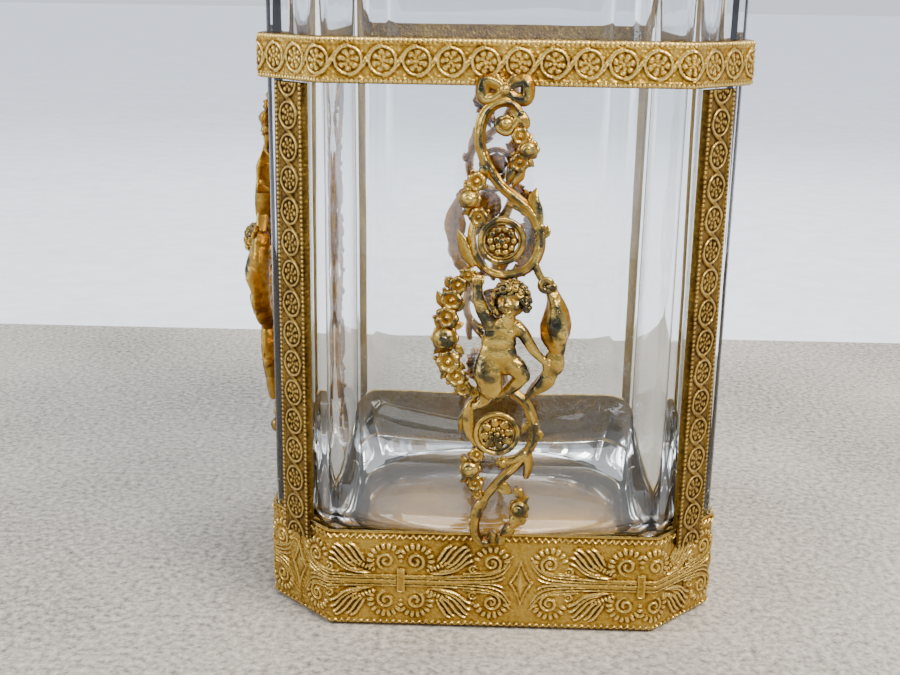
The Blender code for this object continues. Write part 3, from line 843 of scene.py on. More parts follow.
def strip_ring(proud, chamfer, low, high, lip=None):
    """A stamped strip bent round the glass, with a plain back and perhaps a lip.

    Its face is the outline pushed out by the relief's height; its back and lip are the
    outline at each (offset, height) of lip.
    """
    outer = Outline(proud, chamfer, radius=1.1)
    count = cells(outer.length)
    stations = np.arange(count) / count * outer.length
    rings = round(outer.length / size("ring_pitch"))
    beads = round(outer.length / size("bead_pitch"))
    middle = (low + high) / 2
    across = np.linspace(low - middle, high - middle, cells(high - low))
    along, side = np.meshgrid(stations - RING_START, across, indexing="ij")
    height = strip_relief(along, side, outer.length / rings, outer.length / beads)
    edge = np.clip((np.abs(side) - (high - middle) + EDGE_ROLL) / EDGE_ROLL, 0, 1)
    height = height * (1 - edge) - 0.3 * edge ** 2
    points, out = outer.at(stations)
    push = height - STRIP_SINK
    front = np.concatenate([points[:, None] + out[:, None] * push[..., None],
                            (side + middle)[..., None]], -1)
    backs = []
    for offset, z in lip or ((GAP, high), (GAP, low)):
        path = Outline(offset, radius=0.9)
        flat, _ = path.at(stations / outer.length * path.length)
        backs.append(raised(flat, z)[:, None])
    section = np.concatenate([front] + backs, 1)
    plain = np.full((count, len(backs)), STRIP_BACK_TONE)
    shade = np.concatenate([painted_relief_shade(height, STRIP_DEEPEST), plain], 1)
    return grid(section, shade, ring=True, loop=True)


def strap_shape():
    """The same strip stood upright facing +Y, its plain sides turned back to the glass.

    Its lower end laps over the pan, where its back is drawn out to clear the pan.
    """
    low, high = STRAP_LOW[2], STRAP_HIGH[2]
    count = cells(high - low)
    stations = np.linspace(low, high, count)
    rings = round((high - low) / size("ring_pitch"))
    across = np.linspace(-STRIP_HALF, STRIP_HALF, cells(2 * STRIP_HALF))
    along, side = np.meshgrid(stations - low, across, indexing="ij")
    height = strip_relief(along, side, (high - low) / rings, size("bead_pitch"))
    face = CHAMFER_DISTANCE + STRAP_FACE - STRIP_SINK
    front = np.stack([side, face + height, along + low], -1)
    back = np.where(stations > PAN_HIGH[2] + GAP, CHAMFER_DISTANCE + GAP,
                    CHAMFER_DISTANCE + STRAP_LAP)
    backs = [np.stack([np.full(count, x), back, stations], -1)[:, None]
             for x in (STRIP_HALF, -STRIP_HALF)]
    section = np.concatenate([front] + backs, 1)
    plain = np.full((count, len(backs)), STRAP_SIDE_TONE)
    shade = np.concatenate([painted_relief_shade(height, STRIP_DEEPEST), plain], 1)
    return grid(section, shade, ring=True, caps=True)


# ---------------------------------------------------------------- cast mount parts

MOUNT_HEIGHT = MOUNT_HIGH[2] - MOUNT_LOW[2]
MOUNT_BOW = 3.6                         # how far its middle stands off its ends
SHEET_HALF = 0.8
SHELL_DEPTH = 2.3                       # how far the casting's side walls run back
SHELL_WIDTH = 0.7                       # radius from which they reach their full depth
CLEAR_OF_GLASS = 0.35
CLEAR_OF_BRASS = 0.12
CLEAR_BESIDE = 0.5                      # and how far past pan and band it still holds
SCROLL_SWELL = 1.22                     # widens every scroll and flower as cast


def bowed(drawn):
    """Points (across, up[, lift]) of the mount's drawing, on the bowed sheet in front.

    Its ends lie against pan and band, and its middle stands off by a parabola.
    """
    drawn = np.atleast_2d(np.asarray(drawn, float))
    lift = drawn[:, 2] if drawn.shape[1] > 2 else 0.0
    share = drawn[:, 1] / MOUNT_HEIGHT
    foot = HALF + PAN_PROUD + GAP + SHEET_HALF
    head = HALF + BAND_PROUD + GAP + SHEET_HALF
    out = foot + (head - foot) * share + 4 * MOUNT_BOW * share * (1 - share) + lift
    return np.stack([drawn[:, 0], -out, MOUNT_LOW[2] + drawn[:, 1]], -1)


def depth_shaded(shape):
    """The shape, with painted shade where it lies deep behind the sheet and painted highlight
    where it stands forward, and kept clear of pan and band.
    """
    share = (shape.points[:, 2] - MOUNT_LOW[2]) / MOUNT_HEIGHT
    level = bowed(np.stack([shape.points[:, 0], share * MOUNT_HEIGHT], -1))[:, 1]
    lift = level - shape.points[:, 1]
    # Painted shade and highlight: points deep behind the sheet get a darker tone, points
    # standing forward a lighter one.
    forward = np.clip((lift + 0.5) / 2.0, 0, 1)
    tone = 0.72 * shape.relief + 0.30 * forward + 0.05
    points = shape.points.copy()
    for low, high, proud in ((0, PAN_HIGH[2] + CLEAR_BESIDE, PAN_PROUD),
                             (BAND_LOW[2] - CLEAR_BESIDE, BAND_HIGH[2], BAND_PROUD)):
        beside = (points[:, 2] > low) & (points[:, 2] < high)
        limit = np.where(beside, -(HALF + proud + CLEAR_OF_BRASS), -(HALF + CLEAR_OF_GLASS))
        points[:, 1] = np.minimum(points[:, 1], limit)
    return Shape(points, shape.quads, shape.tris, np.clip(tone, 0, 1))


def tube(points, radius, sides=12, flat=0.9, grooves=0, depth=0.0, twist=0.0, count=0,
         drawn=True):
    """A bar along a smooth path, its radius following the given values, its ends round.

    grooves flutes run along it, each depth of the radius deep, turning by twist radians
    over its length. A drawn bar is a pressed shell: its sides run straight back behind it.
    """
    count = count or 8 * len(points)
    path = smooth_path(points, count)
    path = bowed(path) if drawn else path
    radii = np.interp(np.linspace(0, 1, count), np.linspace(0, 1, np.size(radius)),
                      np.atleast_1d(radius))
    along = np.gradient(path, axis=0)
    along /= np.linalg.norm(along, axis=1)[:, None]
    ends = np.radians([15, 45, 75])
    head = path[:1] - along[:1] * (radii[0] * np.sin(ends[::-1]))[:, None]
    tail = path[-1:] + along[-1:] * (radii[-1] * np.sin(ends))[:, None]
    path = np.concatenate([head, path, tail])
    radii = np.concatenate([radii[0] * np.cos(ends[::-1]), radii, radii[-1] * np.cos(ends)])
    along = np.concatenate([np.repeat(along[:1], 3, 0), along, np.repeat(along[-1:], 3, 0)])
    side = np.cross(along, [0.0, 1.0, 0.0] if drawn else [0.03, 0.6, 0.8])
    side /= np.linalg.norm(side, axis=1)[:, None]
    out = np.cross(side, along)
    out *= np.where(out[:, 1:2] > 0, -1.0, 1.0)
    angle = circle_angles(sides)
    share = np.linspace(0, 1, len(path))[:, None]
    wave = 1 + depth * np.cos(grooves * angle[None] + twist * share)
    reach = radii[:, None] * wave
    rise = np.sin(angle) * flat * reach
    if drawn:
        behind = SHELL_DEPTH * np.clip(radii / SHELL_WIDTH, 0, 1)[:, None] * np.sin(angle)
        rise = np.where(rise < 0, behind, rise)
    section = (side[:, None] * (np.cos(angle) * reach)[..., None]
               + out[:, None] * rise[..., None])
    # Painted light: the crown, facing out, is painted lighter than the sides, and the flutes'
    # grooves darker, painted shade with some patina.
    side_tone, crown_highlight, flute_tone = 0.50, 0.28, 0.8
    shade = side_tone + crown_highlight * np.clip(np.sin(angle), 0, 1)[None]
    shade = shade + flute_tone * (wave - 1)
    return grid(path[:, None] + section, shade, ring=True, caps=True)


def facing_axes(lean):
    """Across, out and up directions of a small part leaning by (across, up)."""
    out = np.array([lean[0], -1.0, lean[1]])
    out /= np.linalg.norm(out)
    up = np.array([0.0, 0.0, 1.0]) - out[2] * out
    up /= np.linalg.norm(up)
    return np.cross(up, out), out, up


def polar(centre, reach, lift, relief, lean=(0, 0)):
    """A closed button: rings of given reach and lift about a centre on the sheet."""
    side, out, up = facing_axes(lean)
    columns = reach.shape[1]
    angle = circle_angles(columns)
    points = (np.asarray(centre) + side * (reach * np.cos(angle))[..., None]
              + up * (reach * np.sin(angle))[..., None] + out * lift[..., None])
    return grid(points, relief, ring=True, caps=True)


def rosette(centre, radius, petals=6, rise=0.55, turn=0.0, lean=(0, 0), lift=0.4):
    """An open flower: petals bulge on a ring round a small boss, their tips scalloped."""
    columns = petals * 6
    angle = circle_angles(columns)[None]
    share = np.array([0.08, 0.2, 0.34, 0.48, 0.62, 0.76, 0.9, 1.0])[:, None]
    wave = 0.5 + 0.5 * np.cos(petals * angle + turn)
    edge = radius * (0.88 + 0.12 * wave)
    height = np.exp(-((share - 0.72) / 0.20) ** 2) * (0.60 + 0.40 * wave)
    height = height + 0.9 * np.exp(-(share / 0.26) ** 2)
    front = rise * radius * height * (1 - 0.3 * share)
    reach = np.concatenate([share * edge, 0.85 * edge, 0.4 * edge])
    depth = np.concatenate([front, np.full((1, columns), -0.35 * radius),
                            np.full((1, columns), -0.5 * radius)])
    # Painted light: the petals' high bulges are lighter, painted highlight, and their low parts
    # and backs darker, painted shade.
    shade = np.concatenate([0.30 + 0.6 * height, np.full((2, columns), 0.40)])
    middle = bowed([(centre[0], centre[1], lift)])[0]
    return polar(middle, reach, depth, shade, lean)


def dome(centre, radius, lift=0.3, deep=0.8, columns=20, rows=11):
    """A fruit or knob: a ball flattened towards the sheet, rings at even angles up it."""
    turn = np.radians(np.linspace(84, -78, rows))[:, None]
    even = np.ones((1, columns))
    middle = bowed([(centre[0], centre[1], lift)])[0]
    # The cap facing out is painted lighter than the sides: painted highlight and shade.
    return polar(middle, radius * np.cos(turn) * even, radius * deep * np.sin(turn) * even,
                 (0.25 + 0.65 * np.clip(np.sin(turn), 0, 1)) * even)


def hoop(centre, radius, thickness, lift=0.2, beads=0):
    """A closed ring of round section, its thickness a cosine of the turn where it is beaded."""
    side, out, up = facing_axes((0, 0))
    turn = circle_angles(48)
    round_it = circle_angles(8)
    swing = 0.3 if beads else 0.0
    pulse = thickness * (1 + swing * np.cos(beads * turn))
    reach = radius + pulse[:, None] * np.cos(round_it)
    rise = pulse[:, None] * np.sin(round_it)
    middle = bowed([(centre[0], centre[1], lift)])[0]
    points = (middle + side * (reach * np.cos(turn)[:, None])[..., None]
              + up * (reach * np.sin(turn)[:, None])[..., None] + out * rise[..., None])
    # Its front is painted lighter than its sides and back: painted highlight and shade.
    shade = 0.35 + 0.55 * np.clip(np.sin(round_it), 0, 1)[None] + 0 * reach
    return grid(points, shade, ring=True, loop=True)


def leaf(points, width):
    """A fleshy leaf: a fluted bar that swells and runs out to a point."""
    return tube(points, np.array([0.4, 1.0, 1.2, 1.0, 0.7, 0.14]) * width, flat=0.7,
                grooves=3, depth=0.24)


# Scrolls of the mount: (points across and up, radius along, grooves).
SCROLLS = [
    ([(2.3, 71.1), (1.4, 72.3), (0, 72.7), (-1.6, 72.2), (-2.9, 70.8), (-3.5, 68.8),
      (-3.5, 66.6), (-2.9, 64.6), (-1.9, 62.6), (-0.4, 60.6), (1.2, 59.2), (2.8, 58),
      (4.2, 56.8), (5.4, 54.8), (5.9, 52.5), (5.7, 50.5), (4.8, 48.7), (3.2, 47.5),
      (0.5, 46.9), (-1.6, 47.4), (-3.1, 48.8), (-4.2, 51.2), (-4.6, 53.3)],
     (0.45, 0.6, 0.6, 0.6, 0.62, 0.62, 0.45, 0.2), 4),
    ([(2.4, 71), (1.6, 69.6), (0.6, 68.3), (-0.6, 68.6), (-1, 69.5), (-0.3, 70.2),
      (0.5, 69.7), (0.2, 69.2)], (0.45, 0.42, 0.36, 0.3), 0),
    ([(5.2, 48.6), (6, 46.9), (6.8, 45.8)], (0.4, 0.38), 0),
    ([(0.1, 27.0), (0.8, 28.1), (2.2, 28.1), (3.6, 27.3), (4.8, 25.8), (5.6, 23.8),
      (5.9, 21.8), (5.8, 19.8), (5.2, 18.2), (4.4, 16.9), (3.2, 15.3), (1.8, 13.8),
      (0.2, 11.9), (-1.2, 9.9), (-2.2, 7.9), (-2.8, 5.8), (-3.1, 4), (-2.8, 2.2),
      (-2.1, 1), (-1, 0.7)], (0.4, 0.55, 0.6, 0.58, 0.55, 0.52, 0.62, 0.45), 4),
    ([(4.6, 17.6), (3.6, 16.7), (2.6, 16.3), (1.3, 16)], (0.5, 0.45, 0.4), 0),
    ([(-2.9, 48.4), (-3.9, 50.0), (-4.4, 52.4), (-4.2, 54.4), (-3.4, 55.6)],
     (0.5, 0.55, 0.5, 0.3), 3),
    ([(-3.9, 48.6), (-5.0, 50.4), (-5.4, 52.2)], (0.4, 0.5, 0.3), 3),
    ([(4.9, 17.2), (5.2, 15.6), (5, 13.6)], (0.7, 0.6, 0.45), 3),
]

# Leaves and husks: (points, greatest radius).
LEAVES = [
    ([(1.0, 71.4), (2.2, 70.6), (3.1, 69.6), (3.2, 68.6)], 0.75),
    ([(2.0, 62.9), (1.2, 62.2), (0.6, 60.9)], 0.8),
    ([(3.1, 62.8), (2.2, 61.6), (1.4, 60.2)], 0.6),
    ([(-1.8, 63.2), (-2.8, 62.5), (-3.4, 61.8)], 0.9),
    ([(-4.3, 55.6), (-3.2, 54.7), (-1.8, 54.2)], 0.8),
    ([(1.0, 57.8), (2.6, 57.2), (4.6, 55.4)], 0.6),
    ([(5.9, 54.2), (5.2, 56.6), (4.8, 58.4), (5.1, 60.1)], 1.0),
    ([(6.1, 52.7), (6.9, 53.6), (7.0, 54.6)], 0.55),
    ([(-4.3, 48.2), (-5.1, 50.3), (-5.9, 52.3), (-6.6, 53.6)], 0.75),
    ([(-3.5, 27.3), (-4.5, 25.0), (-4.4, 21.8), (-3.4, 19.6), (-2.4, 18.4)], 0.8),
    ([(-4.6, 25.2), (-5.5, 23.4), (-5.8, 20.8)], 0.55),
    ([(5.4, 23.2), (4.5, 22.4), (4.0, 21.0)], 0.6),
    ([(6.3, 21.6), (6.9, 20.8), (6.9, 19.8)], 0.5),
    ([(-1.2, 9.8), (-2.3, 8.2), (-3.2, 6.2), (-3.4, 5.0)], 0.8),
    ([(0.4, 11.7), (1.6, 11.1), (2.8, 10.4)], 0.85),
    ([(3.2, 10.9), (4.0, 10.2), (4.4, 9.2)], 0.7),
    ([(3.4, 6.4), (3.4, 5.0), (2.8, 3.6)], 0.9),
    ([(4.3, 6.3), (4.6, 5.2), (4.2, 4.4)], 0.55),
    ([(2.9, 4.3), (2.2, 3.1), (1.1, 2.2)], 0.8),
    ([(-1.0, 1.3), (-1.3, 0.7), (-1.5, 0.1)], 0.65),
    ([(0.9, 2.3), (1.2, 1.2), (1.2, 0.2)], 0.7),
    ([(-0.3, 2.6), (-0.2, 1.6), (-0.1, 0.7)], 0.6),
]

# Flowers: (across, up, radius, petals). Fruits: (across, up, radius).
FLOWERS = [
    (2.5, 67.8, 1.2, 6), (2.4, 63.9, 1.3, 6), (-3.9, 61.0, 1.35, 6), (-3.5, 55.8, 1.3, 6),
    (-4.9, 46.9, 1.0, 5), (-6.4, 45.3, 1.25, 6), (-7.4, 43.0, 1.5, 6), (-8.0, 40.2, 1.6, 7),
    (-7.7, 33.1, 1.7, 7), (-6.5, 30.7, 1.45, 6), (-5.3, 28.7, 1.25, 6),
    (-3.6, 28.1, 0.8, 5), (-3.0, 17.4, 1.05, 6), (-3.2, 12.2, 1.25, 6),
    (-2.8, 10.2, 0.75, 5),
]
FRUITS = [
    (3.7, 65.8, 1.4), (-4.9, 58.4, 1.45), (-8.3, 36.8, 1.9), (-4.0, 14.7, 1.5),
    (4.0, 7.7, 1.45), (1.1, 15.9, 0.75), (0.0, 74.4, 0.9), (0.3, 69.5, 1.05),
]
# Small leaves beside them: middle and tip (across, up). Drapery: (across, up, radius).
SIDE_LEAVES = [
    (-9.1, 43.0, -9.6, 44.2), (-5.9, 41.9, -5.2, 42.7), (-9.3, 39.2, -10.0, 39.9),
    (-6.2, 38.8, -5.4, 39.2), (-6.1, 34.9, -5.3, 34.3), (-9.4, 35.0, -10.0, 34.2),
    (-5.8, 32.2, -5.0, 31.9), (-8.4, 30.9, -8.9, 30.1), (-7.9, 45.6, -8.3, 46.5),
    (-5.2, 59.9, -5.8, 60.6), (-5.3, 56.6, -6.0, 56.0), (3.6, 67.4, 4.4, 67.8),
    (3.9, 63.9, 4.6, 63.3), (-5.0, 16.4, -5.6, 16.9), (-4.9, 12.8, -5.5, 12.2),
    (5.0, 9.2, 5.6, 9.8), (5.0, 6.4, 5.6, 5.9),
]
DRAPERY = [
    (7.5, 45.0, 0.8), (8.3, 43.2, 1.1), (8.7, 41.2, 1.8), (8.8, 39.2, 2.3),
    (8.9, 37.4, 2.2), (9.1, 35.8, 1.5), (9.1, 34.8, 1.15), (8.8, 33.6, 1.6),
    (8.4, 32.4, 1.55), (8.0, 31.3, 0.95), (7.6, 30.5, 1.3), (6.8, 29.5, 1.15),
    (5.7, 28.5, 0.8), (4.8, 27.4, 0.5), (4.0, 26.4, 0.45),
]


def ribbon_bow():
    """The bow over the mount: two loops with open middles, a knot and two short ends."""
    shapes = []
    for side in (-1, 1):
        loop_points = [(0.3 * side, 74.5), (1.4 * side, 75.3), (2.8 * side, 75.7),
                       (3.3 * side, 75.1), (3.3 * side, 73.6), (2.8 * side, 73.0),
                       (1.4 * side, 73.3), (0.3 * side, 74.3)]
        shapes.append(tube(loop_points, (0.7, 0.95, 1.05, 0.95, 0.7), sides=16, flat=0.6,
                           grooves=3, depth=0.2, twist=2.0))
        shapes.append(tube([(0.1 * side, 74.6), (0.9 * side, 75.6), (1.3 * side, 76.3)],
                           (0.5, 0.65, 0.45), flat=0.6))
        shapes.append(tube([(0.1 * side, 74.2), (0.8 * side, 72.9), (1.3 * side, 71.9)],
                           (0.4, 0.55, 0.3), flat=0.6))
    return shapes


def medallion(centre, seeded):
    """A round frame of two rings about a full-blown flower.

    Seeded, it has rings of ten and five grains; otherwise eight petals with grains between.
    """
    def off(radius, angle, *lift):
        """A point at a radius and angle from the medallion's centre."""
        return (centre[0] + radius * math.cos(angle), centre[1] + radius * math.sin(angle),
                *lift)

    shapes = [hoop(centre, 3.3, 0.42, lift=0.35), hoop(centre, 2.7, 0.22, lift=0.3),
              rosette(centre, 2.55, petals=8 if seeded else 10, rise=0.24, lift=0.0)]
    if seeded:
        around = np.radians(np.arange(10) * 36.0)
        shapes += [dome(off(1.75, a), 0.52, lift=0.45, columns=12) for a in around]
        shapes += [dome(off(0.85, a), 0.46, lift=0.72, columns=12)
                   for a in around[::2] + 0.3]
    else:
        for a in np.radians(np.arange(8) * 45.0 + 10):
            root, tip = off(1.0, a, 0.35), off(2.2, a, 0.45)
            shapes.append(tube([root, tuple(np.add(root, tip) / 2), tip], (0.35, 0.72, 0.55),
                               flat=0.7, count=10))
            shapes.append(dome(off(0.95, a + 0.4), 0.42, lift=0.7, columns=10, rows=7))
    shapes.append(dome(centre, 0.55, lift=0.85, columns=14))
    return shapes


def drapery():
    """The hanging cloth: a flat bar whose three flutes wind round it, and its ties."""
    table = np.array(DRAPERY)
    return [tube(table[:, :2], table[:, 2], sides=48, flat=0.8, grooves=3, depth=0.16,
                 twist=8.0, count=140),
            hoop((8.0, 31.3), 0.95, 0.35, lift=0.3),
            hoop((7.0, 45.5), 0.85, 0.5, lift=0.2),
            dome((8.0, 45.2), 0.75, lift=0.4)]


def collared(centre, first, step):
    """Three rings in a row at the throat of a husk."""
    return [hoop((centre, first - k * step), 0.55, 0.38 - 0.03 * k, lift=0.15)
            for k in range(3)]


def garlands():
    """Scrolls, leaves, flowers, fruits, cloth and medallions of one mount."""
    shapes = ribbon_bow() + drapery()
    for points, radii, grooves in SCROLLS:
        shapes.append(tube(points, SCROLL_SWELL * np.array(radii), sides=20, grooves=grooves,
                           depth=0.2, twist=0.4 * grooves))
    shapes += [leaf(points, width) for points, width in LEAVES]
    for number, (x, up, radius, petals) in enumerate(FLOWERS):
        shapes.append(rosette((x, up), radius * SCROLL_SWELL, petals, turn=number * 1.9,
                              lean=(0.02 * x, 0.05 * math.sin(number))))
        for angle in np.arange(5) * 1.257 + number:
            bud = (x + radius * 1.2 * math.cos(angle), up + radius * 1.2 * math.sin(angle))
            shapes.append(dome(bud, 0.22 + 0.12 * radius, lift=-0.2, columns=8, rows=6))
    for x, up, radius in FRUITS:
        shapes.append(dome((x, up), radius, lift=0.25))
        shapes.append(dome((x - 0.15 * radius, up), radius * 0.5, lift=0.25 + 0.62 * radius,
                           deep=0.6))
        shapes.append(hoop((x, up), radius * 0.95, 0.34, lift=0.05, beads=8))
    for x, up, tip_x, tip_up in SIDE_LEAVES:
        root = (x - (tip_x - x), up - (tip_up - up))
        shapes.append(leaf([root, (x, up), (tip_x, tip_up)], 0.5))
    shapes += medallion((0.1, 52.2), True) + medallion((0.1, 21.1), False)
    shapes += collared(5.8, 54.0, 0.95) + collared(5.9, 22.3, 1.0)
    return shapes


# ---------------------------------------------------------------- the child

# Limbs: points (across, up, lift) and radii.
LIMBS = [
    ([(-1.2, 39.3, 0.9), (-2.5, 41.4, 0.9), (-3.3, 43.5, 0.8)], (1.25, 1.1, 0.95)),
    ([(-3.3, 43.3, 0.8), (-3.4, 44.9, 0.9), (-3.4, 46.0, 1.0)], (0.95, 0.8, 0.85)),
    ([(2.6, 39.0, 0.7), (3.7, 38.0, 0.8), (4.5, 36.8, 0.9)], (1.15, 1.0, 0.9)),
    ([(4.5, 36.8, 0.9), (5.5, 35.3, 1.0), (6.7, 34.0, 1.0)], (0.9, 0.8, 0.6)),
    ([(-1.3, 33.6, 0.7), (-1.5, 31.6, 1.2), (-1.0, 29.2, 1.4)], (2.2, 2.45, 1.8)),
    ([(-0.9, 29.2, 1.2), (-1.6, 27.9, 0.7), (-2.1, 26.9, 0.5)], (1.5, 1.15, 0.85)),
    ([(-1.9, 26.8, 0.6), (-2.9, 26.2, 0.8)], (0.8, 0.6)),
    ([(1.7, 33.3, 0.6), (3.0, 32.3, 0.9), (3.9, 31.2, 1.0)], (1.85, 1.6, 1.2)),
    ([(3.8, 31.2, 1.0), (2.6, 29.5, 0.5), (1.2, 28.2, 0.2)], (1.2, 1.1, 0.75)),
    ([(1.3, 28.3, 0.2), (0.2, 27.6, 0.4)], (0.75, 0.55)),
    ([(1.0, 39.3, 0.7), (1.4, 40.6, 0.8)], (1.35, 1.2)),
]

# Rounded masses: centre (across, up, lift) and half sizes (across, up, deep).
MASSES = [
    ((0.3, 38.6, 0.7), (2.7, 1.9, 1.35)),
    ((0.0, 36.6, 0.8), (2.75, 2.3, 1.55)),
    ((-0.1, 34.8, 1.0), (3.0, 2.3, 1.65)),
    ((0.2, 33.0, 0.6), (3.1, 1.9, 1.4)),
    ((-1.1, 38.2, 1.35), (1.15, 0.95, 0.8)),
    ((1.5, 38.1, 1.3), (1.15, 0.95, 0.8)),
    ((-3.4, 46.4, 1.0), (1.0, 0.9, 0.8)),
    ((7.2, 33.7, 1.0), (0.8, 0.7, 0.6)),
    ((-3.1, 26.1, 0.8), (0.65, 0.45, 0.5)),
]


def ellipsoid(middle, half_sizes, rows, columns, steepest):
    """A closed ball with half sizes along x, y and z, its rings at even angles up it.

    A point is the middle plus the half sizes times (cos up cos round, cos up sin round,
    sin up); the rings run from steepest degrees up to as many down.
    """
    up = np.radians(np.linspace(steepest, -steepest, rows))[:, None]
    angle = circle_angles(columns)[None]
    points = np.stack([
        middle[0] + half_sizes[0] * np.cos(up) * np.cos(angle),
        middle[1] + half_sizes[1] * np.cos(up) * np.sin(angle),
        middle[2] + half_sizes[2] * np.sin(up) + 0 * angle], -1)
    return grid(points, ring=True, caps=True)


def fused(name, shape, cell, rounds):
    """The shape's overlapping surfaces made one skin, smoothed, its hollows given painted
    shade.

    Relief is how far the skin stands off a more smoothed copy of itself: hollows darker,
    painted shade with some patina, swellings lighter, painted highlight.
    """
    rough = bpy.data.objects.new(name, make_mesh(name, shape))
    bpy.context.scene.collection.objects.link(rough)
    remesh = rough.modifiers.new("one skin", "REMESH")
    remesh.mode = "VOXEL"
    remesh.voxel_size = cell * MM
    skins = []
    for number, times in enumerate((rounds, 40)):
        smooth = rough.modifiers.new(f"smooth {number}", "SMOOTH")
        smooth.factor, smooth.iterations = 0.5, times
        graph = bpy.context.evaluated_depsgraph_get()
        mesh = bpy.data.meshes.new_from_object(rough.evaluated_get(graph))
        points = np.empty(len(mesh.vertices) * 3, np.float32)
        mesh.vertices.foreach_get("co", points)
        normals = np.empty(len(mesh.vertices) * 3, np.float32)
        mesh.vertices.foreach_get("normal", normals)
        corners = np.empty(len(mesh.loops), np.int32)
        mesh.loops.foreach_get("vertex_index", corners)
        skins.append((points.reshape(-1, 3) / MM, normals.reshape(-1, 3)))
        quads = corners.reshape(-1, 4)
        bpy.data.meshes.remove(mesh)
    bpy.data.objects.remove(rough)
    proud = np.einsum("ij,ij->i", skins[0][0] - skins[1][0], skins[0][1])
    relief = np.clip(0.55 + proud / 0.25, 0, 1)
    return outward(Shape(skins[0][0].astype(float), quads, np.zeros((0, 3), int), relief))


# Features of the face: (turn right, turn up, width, height of spot in degrees, swell in mm).
FACE = [
    (0, 6, 7, 14, 0.26), (0, -8, 8, 8, 0.62), (-8, -12, 5, 5, 0.18), (8, -12, 5, 5, 0.18),
    (-23, 7, 12, 10, -0.42), (23, 7, 12, 10, -0.42), (-23, 6, 8, 6, 0.36),
    (23, 6, 8, 6, 0.36), (-23, 4, 10, 1.6, -0.12), (23, 4, 10, 1.6, -0.12),
    (-25, 21, 16, 5, 0.22), (25, 21, 16, 5, 0.22), (-34, -16, 14, 14, 0.32),
    (34, -16, 14, 14, 0.32), (0, -25, 10, 3.4, 0.30), (0, -34, 8, 4, 0.32),
    (0, -29.5, 13, 1.9, -0.26), (-14, -29, 4, 4, -0.18), (14, -29, 4, 4, -0.18),
    (0, -20, 3, 4, -0.12), (0, -52, 14, 10, 0.34), (0, -42, 11, 3.5, -0.18),
    (0, 40, 35, 18, 0.12),
]
HEAD = (1.75, 43.0, 0.9)
HEAD_SIZE = (2.35, 2.7, 2.15)


def head_axes():
    """The head's right, forward and up directions: turned a little aside and bowed."""
    aside, down, tilt = math.radians(-20), math.radians(10), math.radians(-9)
    turn = (Matrix.Rotation(aside, 3, "Z") @ Matrix.Rotation(-down, 3, "X")
            @ Matrix.Rotation(tilt, 3, "Y"))
    return np.array(turn)


def head_point(turn_right, turn_up, swell):
    """Points on the head at angles about its middle, swollen by some millimetres."""
    right, up = np.radians(turn_right), np.radians(turn_up)
    away = np.stack([np.cos(up) * np.sin(right), -np.cos(up) * np.cos(right),
                     np.sin(up)], -1)
    local = away * (np.array(HEAD_SIZE)[[0, 2, 1]] + np.asarray(swell)[..., None])
    return bowed([HEAD])[0] + local @ head_axes().T


def face_shape():
    """The head: an ellipsoid whose radius swells and sinks by soft spots for each feature."""
    up, right = np.meshgrid(np.linspace(-86, 86, 110), np.arange(180) * 2.0 - 180,
                            indexing="ij")
    swell = np.zeros_like(up)
    for spot_right, spot_up, wide, tall, height in FACE:
        gap = ((right - spot_right) * np.cos(np.radians(up)) / wide) ** 2
        swell = swell + height * np.exp(-gap - ((up - spot_up) / tall) ** 2)
    narrow = np.clip((-up - 20) / 60, 0, 1) * np.abs(np.sin(np.radians(right)))
    points = head_point(right, up, swell - 0.55 * narrow)
    # Swellings are painted lighter and sunken features darker: painted highlight and shade.
    return grid(points, np.clip(0.42 + 1.3 * swell, 0, 1), ring=True, caps=True)


# Rows of curls: (turn up, first turn aside, last turn aside, how many on each side).
CURL_ROWS = ((-22, 78, 110, 2), (0, 66, 112, 3), (22, 52, 116, 3), (38, 12, 112, 5),
             (55, 14, 120, 4), (72, 24, 130, 3), (88, 0, 0, 1))


def hair_shapes():
    """Short thick curls in rows round the skull, from behind the cheeks to the crown.

    Each is a coil whose radius, in degrees on the head, shrinks as it rises off the skull.
    """
    shapes = []
    share = np.linspace(0, 1, 18)
    reach = np.linspace(13, 3, 18)
    for row, (up, first, last, count) in enumerate(CURL_ROWS):
        squeeze = max(0.4, math.cos(math.radians(up)))
        for side in (-1, 1):
            for k, aside in enumerate(np.linspace(first, last, count)):
                turns = side * np.radians(np.linspace(0, 420, 18) + 70 * k + 90 * row)
                path = head_point(side * aside + reach * np.cos(turns) / squeeze,
                                  up + reach * np.sin(turns), 0.28 + 0.42 * share)
                shapes.append(tube(path, (0.33, 0.38, 0.30), sides=10, count=36,
                                   drawn=False))
    return shapes


def child_shapes():
    """The child: body and limbs fused into one skin, a head and curls set on it."""
    bars = [tube(points, radii, sides=20, flat=0.92, count=14) for points, radii in LIMBS]
    masses = [ellipsoid(bowed([centre])[0], (across, deep, up), 14, 20, 85)
              for centre, (across, up, deep) in MASSES]
    body = fused("child", joined(bars + masses), 0.15, 9)
    fingers = []
    for k in range(4):                  # a finger of each hand and a toe, four times
        fingers.append(tube([(-4.1 + 0.48 * k, 46.9, 1.2), (-4.1 + 0.48 * k, 46.5, 1.75),
                             (-4.0 + 0.46 * k, 46.0, 1.6)], (0.24, 0.26, 0.2), count=10))
        fingers.append(tube([(7.1, 34.15 - 0.3 * k, 1.2), (7.7, 34.0 - 0.3 * k, 1.5),
                             (8.1, 33.8 - 0.3 * k, 1.3)], (0.2, 0.2, 0.16), count=10))
        fingers.append(tube([(-3.2, 26.35 - 0.2 * k, 0.9), (-3.7, 26.3 - 0.22 * k, 1.1)],
                            (0.2, 0.17), count=8))
    return [body, face_shape()] + hair_shapes() + fingers


# ---------------------------------------------------------------- lid

